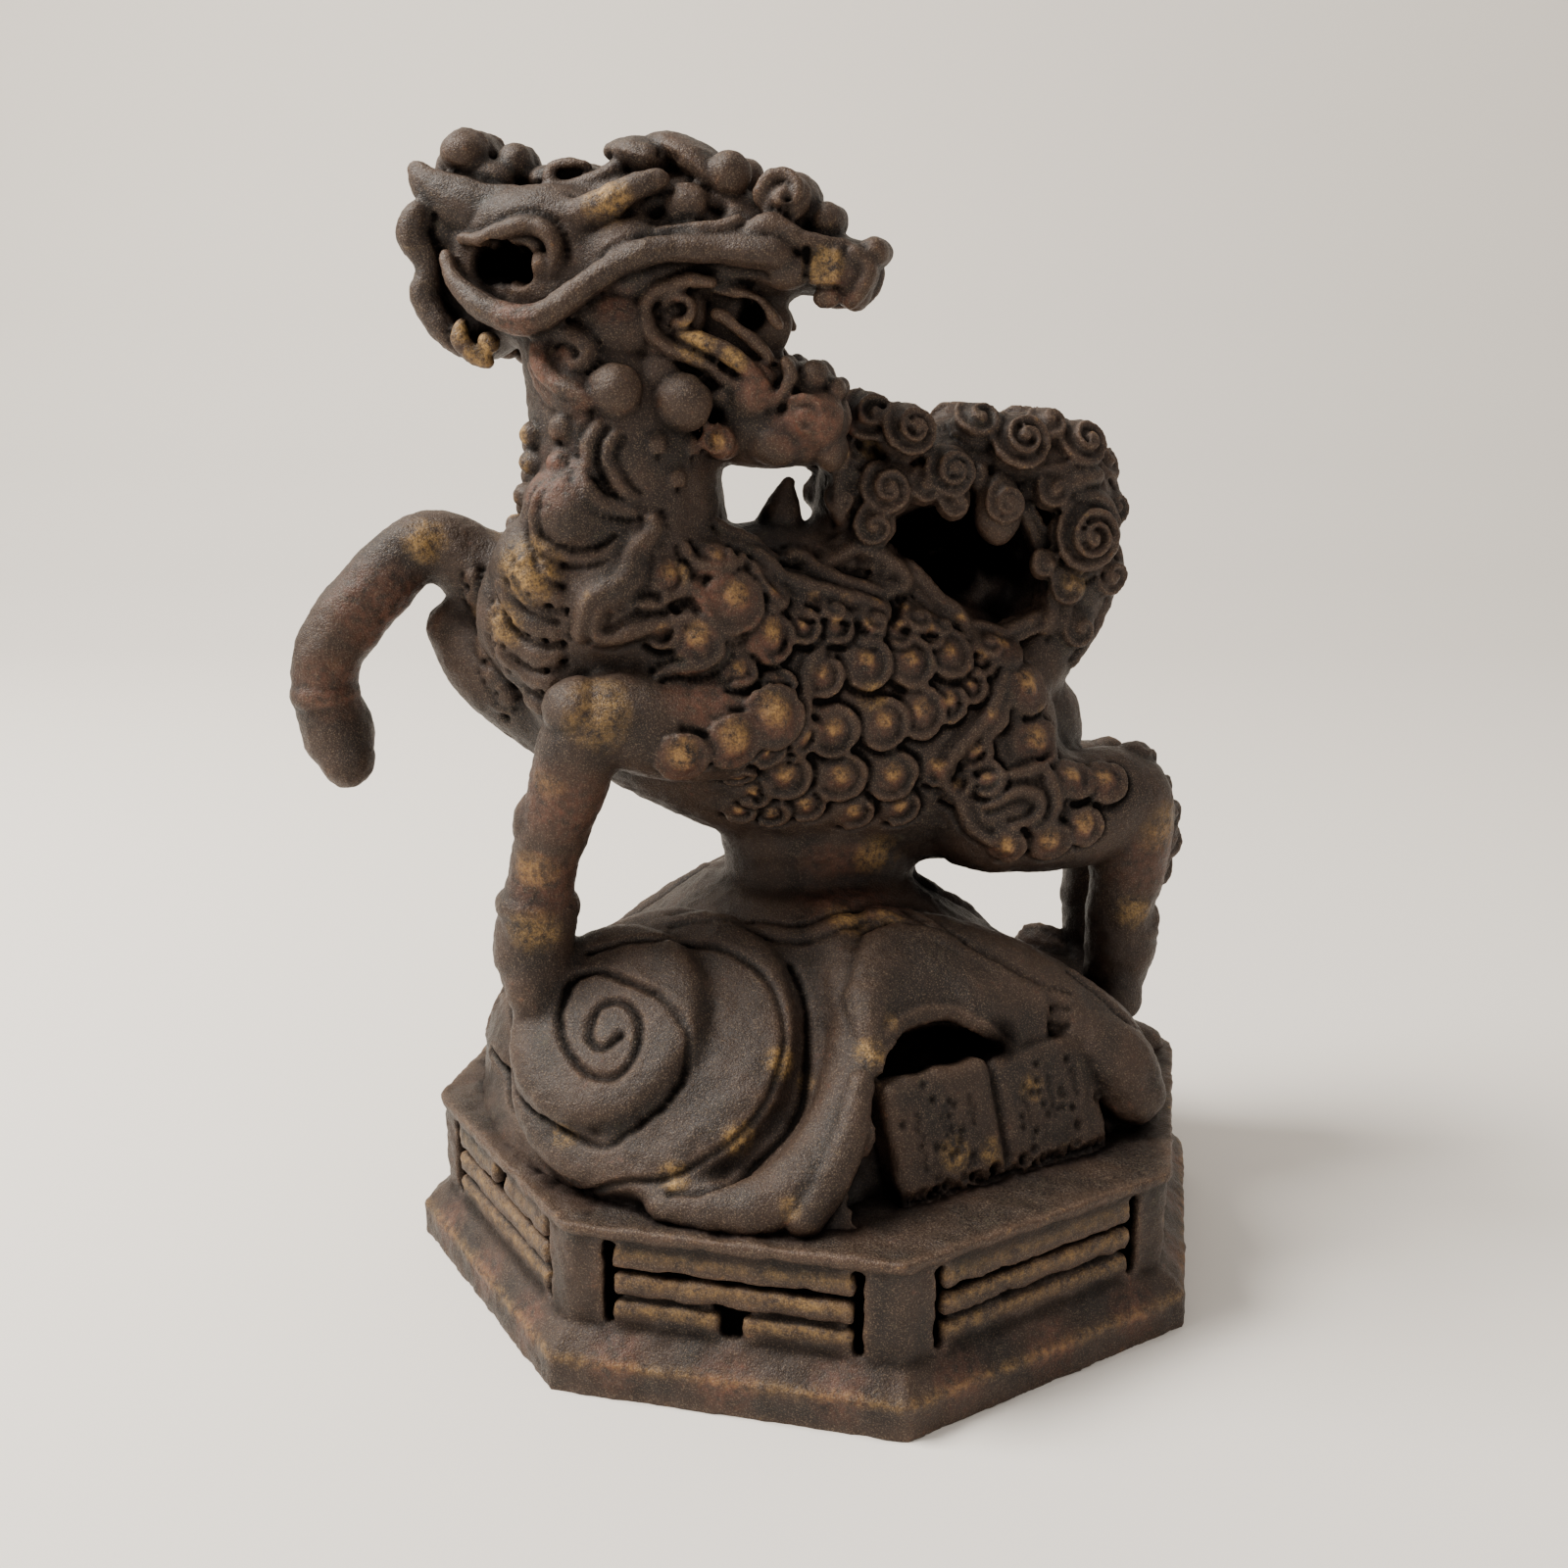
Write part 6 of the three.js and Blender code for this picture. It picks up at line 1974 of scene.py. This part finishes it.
# %% Shares of the layers
# Each share is a sum of products. A factor is what it reads, the values between which that
# counts, and what it gives at either of them.
EXPOSED = ("open", 0.4, 0.8, 0, 1)
GRAINY = ("grain", 0.34, 0.54, 0.15, 1)
SHARES = {
    "brown": [[("cloud", 0.42, 0.6, 0, 1)]],
    "green": [[("blotch", 0.55, 0.75, 0, 0.7), ("cloud", 0.5, 0.36, 0, 1)]],
    "rubbed": [[("proud", 0, 0.9, 0, 0.75), ("blotch", 0.35, 0.6, 0.35, 1)]],
    "red": [
        [("copper", 0, 1, 0, 1), ("blotch", 0.35, 0.6, 0, 1), ("proud", -0.3, 0.3, 0.15, 0.6)],
        [("blotch", 0.6, 0.72, 0, 0.3), ("cloud", 0.5, 0.6, 0, 1)],
    ],
    # Dust on upward faces, and pale specks painted as glints on proud, open places.
    "dust_and_glints": [
        [("upward", 0.2, 1, 0, 0.14), ("grain", 0.42, 0.66, 0, 1), EXPOSED],
        [("proud", 0, 0.8, 0.05, 0.26), ("speck", 0.48, 0.62, 0, 1), EXPOSED],
        [("speck", 0.58, 0.7, 0, 0.45), EXPOSED],
    ],
    "bare": [
        [("gilt", 0, 1, 0, 0.9), ("blotch", 0.36, 0.62, 0, 1), ("proud", -0.3, 0.5, 0.25, 1), GRAINY],
        [("blotch", 0.62, 0.74, 0, 0.45), ("proud", 0.2, 0.8, 0, 1), GRAINY],
    ],
    # Painted shade: hollows, closed places and the listed shadow spots go near black.
    "valley": [[("proud", -0.04, -0.75, 0, 0.94)]],
    "closed": [[("open", 0.5, 0.15, 0, 0.88)]],
    "painted_spot_shade": [[("painted_shade", 0.05, 0.6, 0, 1)]],
    "metallic": [[("bare", 0, 1, 0.05, 0.45)]],
    "roughness": [[("grain", 0.3, 0.7, 0.4, 0.66)]],
    "gloss": [[("closed", 0, 0.9, 1, 0.1), ("valley", 0, 0.9, 1, 0.1), ("painted_shade", 0.05, 0.6, 0.34, 0)]],
}

for name, terms in SHARES.items():
    products = []
    for factors in terms:
        product = None
        for source, low, high, first, last in factors:
            settings = {"From Min": low, "From Max": high, "To Min": first, "To Max": last}
            factor = add_node("ShaderNodeMapRange", "Result", settings, {"Value": sockets[source]})
            if product is not None:
                factor = add_node("ShaderNodeMath", 0, {"operation": "MULTIPLY"}, {0: product, 1: factor})
            product = factor
        products.append(product)
    total = products[0]
    for product in products[1:]:
        total = add_node("ShaderNodeMath", 0, {"operation": "ADD"}, {0: total, 1: product})
    sockets[name] = total
print("shares", *SHARES)

# %% Layers
# The last three layers lay painted shade, near black, over hollows, closed places and shadow spots.
LAYERS = (
    ("brown", PATINA_BROWN), ("green", OLIVE), ("rubbed", RUBBED), ("red", COPPER), ("dust_and_glints", DUST_AND_GLINT),
    ("bare", GOLD), ("valley", SHADE_BLACK), ("closed", SHADE_BLACK), ("painted_spot_shade", SHADE_BLACK),
)
UNDER = 6
OVER = 7
MIXED = 2

colour = None
for share, over in LAYERS:
    settings = {"data_type": "RGBA", OVER: over}
    links = {"Factor": sockets[share]}
    if colour is None:
        settings[UNDER] = PATINA_DARK
    else:
        links[UNDER] = colour
    colour = add_node("ShaderNodeMix", MIXED, settings, links)
tree.links.new(colour, shader.inputs["Base Color"])
tree.links.new(sockets["metallic"], shader.inputs["Metallic"])
tree.links.new(sockets["roughness"], shader.inputs["Roughness"])
tree.links.new(sockets["gloss"], shader.inputs["Specular IOR Level"])
print("layers", len(LAYERS))

# %% Sandy grain
GRAIN_HEIGHT = 0.16
SPECK_HEIGHT = 0.08

sand = add_node(
    "ShaderNodeBump", "Normal", {"Strength": 0.9, "Distance": GRAIN_HEIGHT * MM}, {"Height": sockets["grain"]}
)
fine_sand = add_node(
    "ShaderNodeBump", "Normal", {"Strength": 0.7, "Distance": SPECK_HEIGHT * MM},
    {"Height": sockets["speck"], "Normal": sand},
)
tree.links.new(fine_sand, shader.inputs["Normal"])
for piece in pieces:
    piece.data.materials.clear()
    piece.data.materials.append(brass)
print("nodes", len(tree.nodes))

# %% [markdown]
# ## Paper and soft light
#
# The figure stands on pale paper that curves up behind it, so no horizon shows. A flat plane and
# a wall would show their corner, so a bent line is drawn out into one sheet. A large lamp high on
# the left, like a window, and an even pale sky give the soft shading of the photograph.

# %% Paper
SWEEP = [(-0.9, 0), (0.42, 0), (0.52, 0.015), (0.6, 0.06), (0.65, 0.13), (0.67, 0.22), (0.67, 1.2)]
SWEEP_HALF = 1.4
PAPER_WHITE = "#f0ebe4"
PAPER_ROUGHNESS = 0.85

paper_form = bmesh.new()
line = [paper_form.verts.new((-SWEEP_HALF, y, z)) for y, z in SWEEP]
edges = [paper_form.edges.new(pair) for pair in zip(line, line[1:])]
made = bmesh.ops.extrude_edge_only(paper_form, edges=edges)["geom"]
far_side = [part for part in made if isinstance(part, bmesh.types.BMVert)]
bmesh.ops.translate(paper_form, verts=far_side, vec=(2 * SWEEP_HALF, 0, 0))
facing = Matrix.Rotation(CAMERA_TURN, 3, "Z")
bmesh.ops.rotate(paper_form, verts=paper_form.verts, cent=(0, 0, 0), matrix=facing)
bmesh.ops.recalc_face_normals(paper_form, faces=paper_form.faces)
floor = object_of(paper_form, "floor")
floor.data.shade_smooth()
paper = bpy.data.materials.new("matte_paper")
paper.use_nodes = True
paper_shader = paper.node_tree.nodes["Principled BSDF"]
paper_shader.inputs["Base Color"].default_value = linear(PAPER_WHITE)
paper_shader.inputs["Roughness"].default_value = PAPER_ROUGHNESS
floor.data.materials.append(paper)
print("paper", len(floor.data.polygons), "faces")

# %% Light
SKY_WHITE = "#efe9e2"
SKY_STRENGTH = 0.8
WINDOW_PLACE = (-0.42, -0.13, 0.58)
WINDOW_AIM = (0, 0, 0.06)
WINDOW_SIZE = 0.34
WINDOW_WATTS = 11
WINDOW_WHITE = "#fffaf2"

world = bpy.data.worlds.new("studio")
bpy.context.scene.world = world
world.use_nodes = True
sky = world.node_tree.nodes["Background"]
sky.inputs["Color"].default_value = linear(SKY_WHITE)
sky.inputs["Strength"].default_value = SKY_STRENGTH

window = bpy.data.lights.new("window", "AREA")
window.energy = WINDOW_WATTS
window.size = WINDOW_SIZE
window.color = linear(WINDOW_WHITE)[:3]
lamp = bpy.data.objects.new("window", window)
lamp.location = WINDOW_PLACE
lamp.rotation_euler = (Vector(WINDOW_AIM) - Vector(WINDOW_PLACE)).to_track_quat("-Z", "Y").to_euler()
bpy.context.scene.collection.objects.link(lamp)
print("lamp", WINDOW_WATTS, "W")
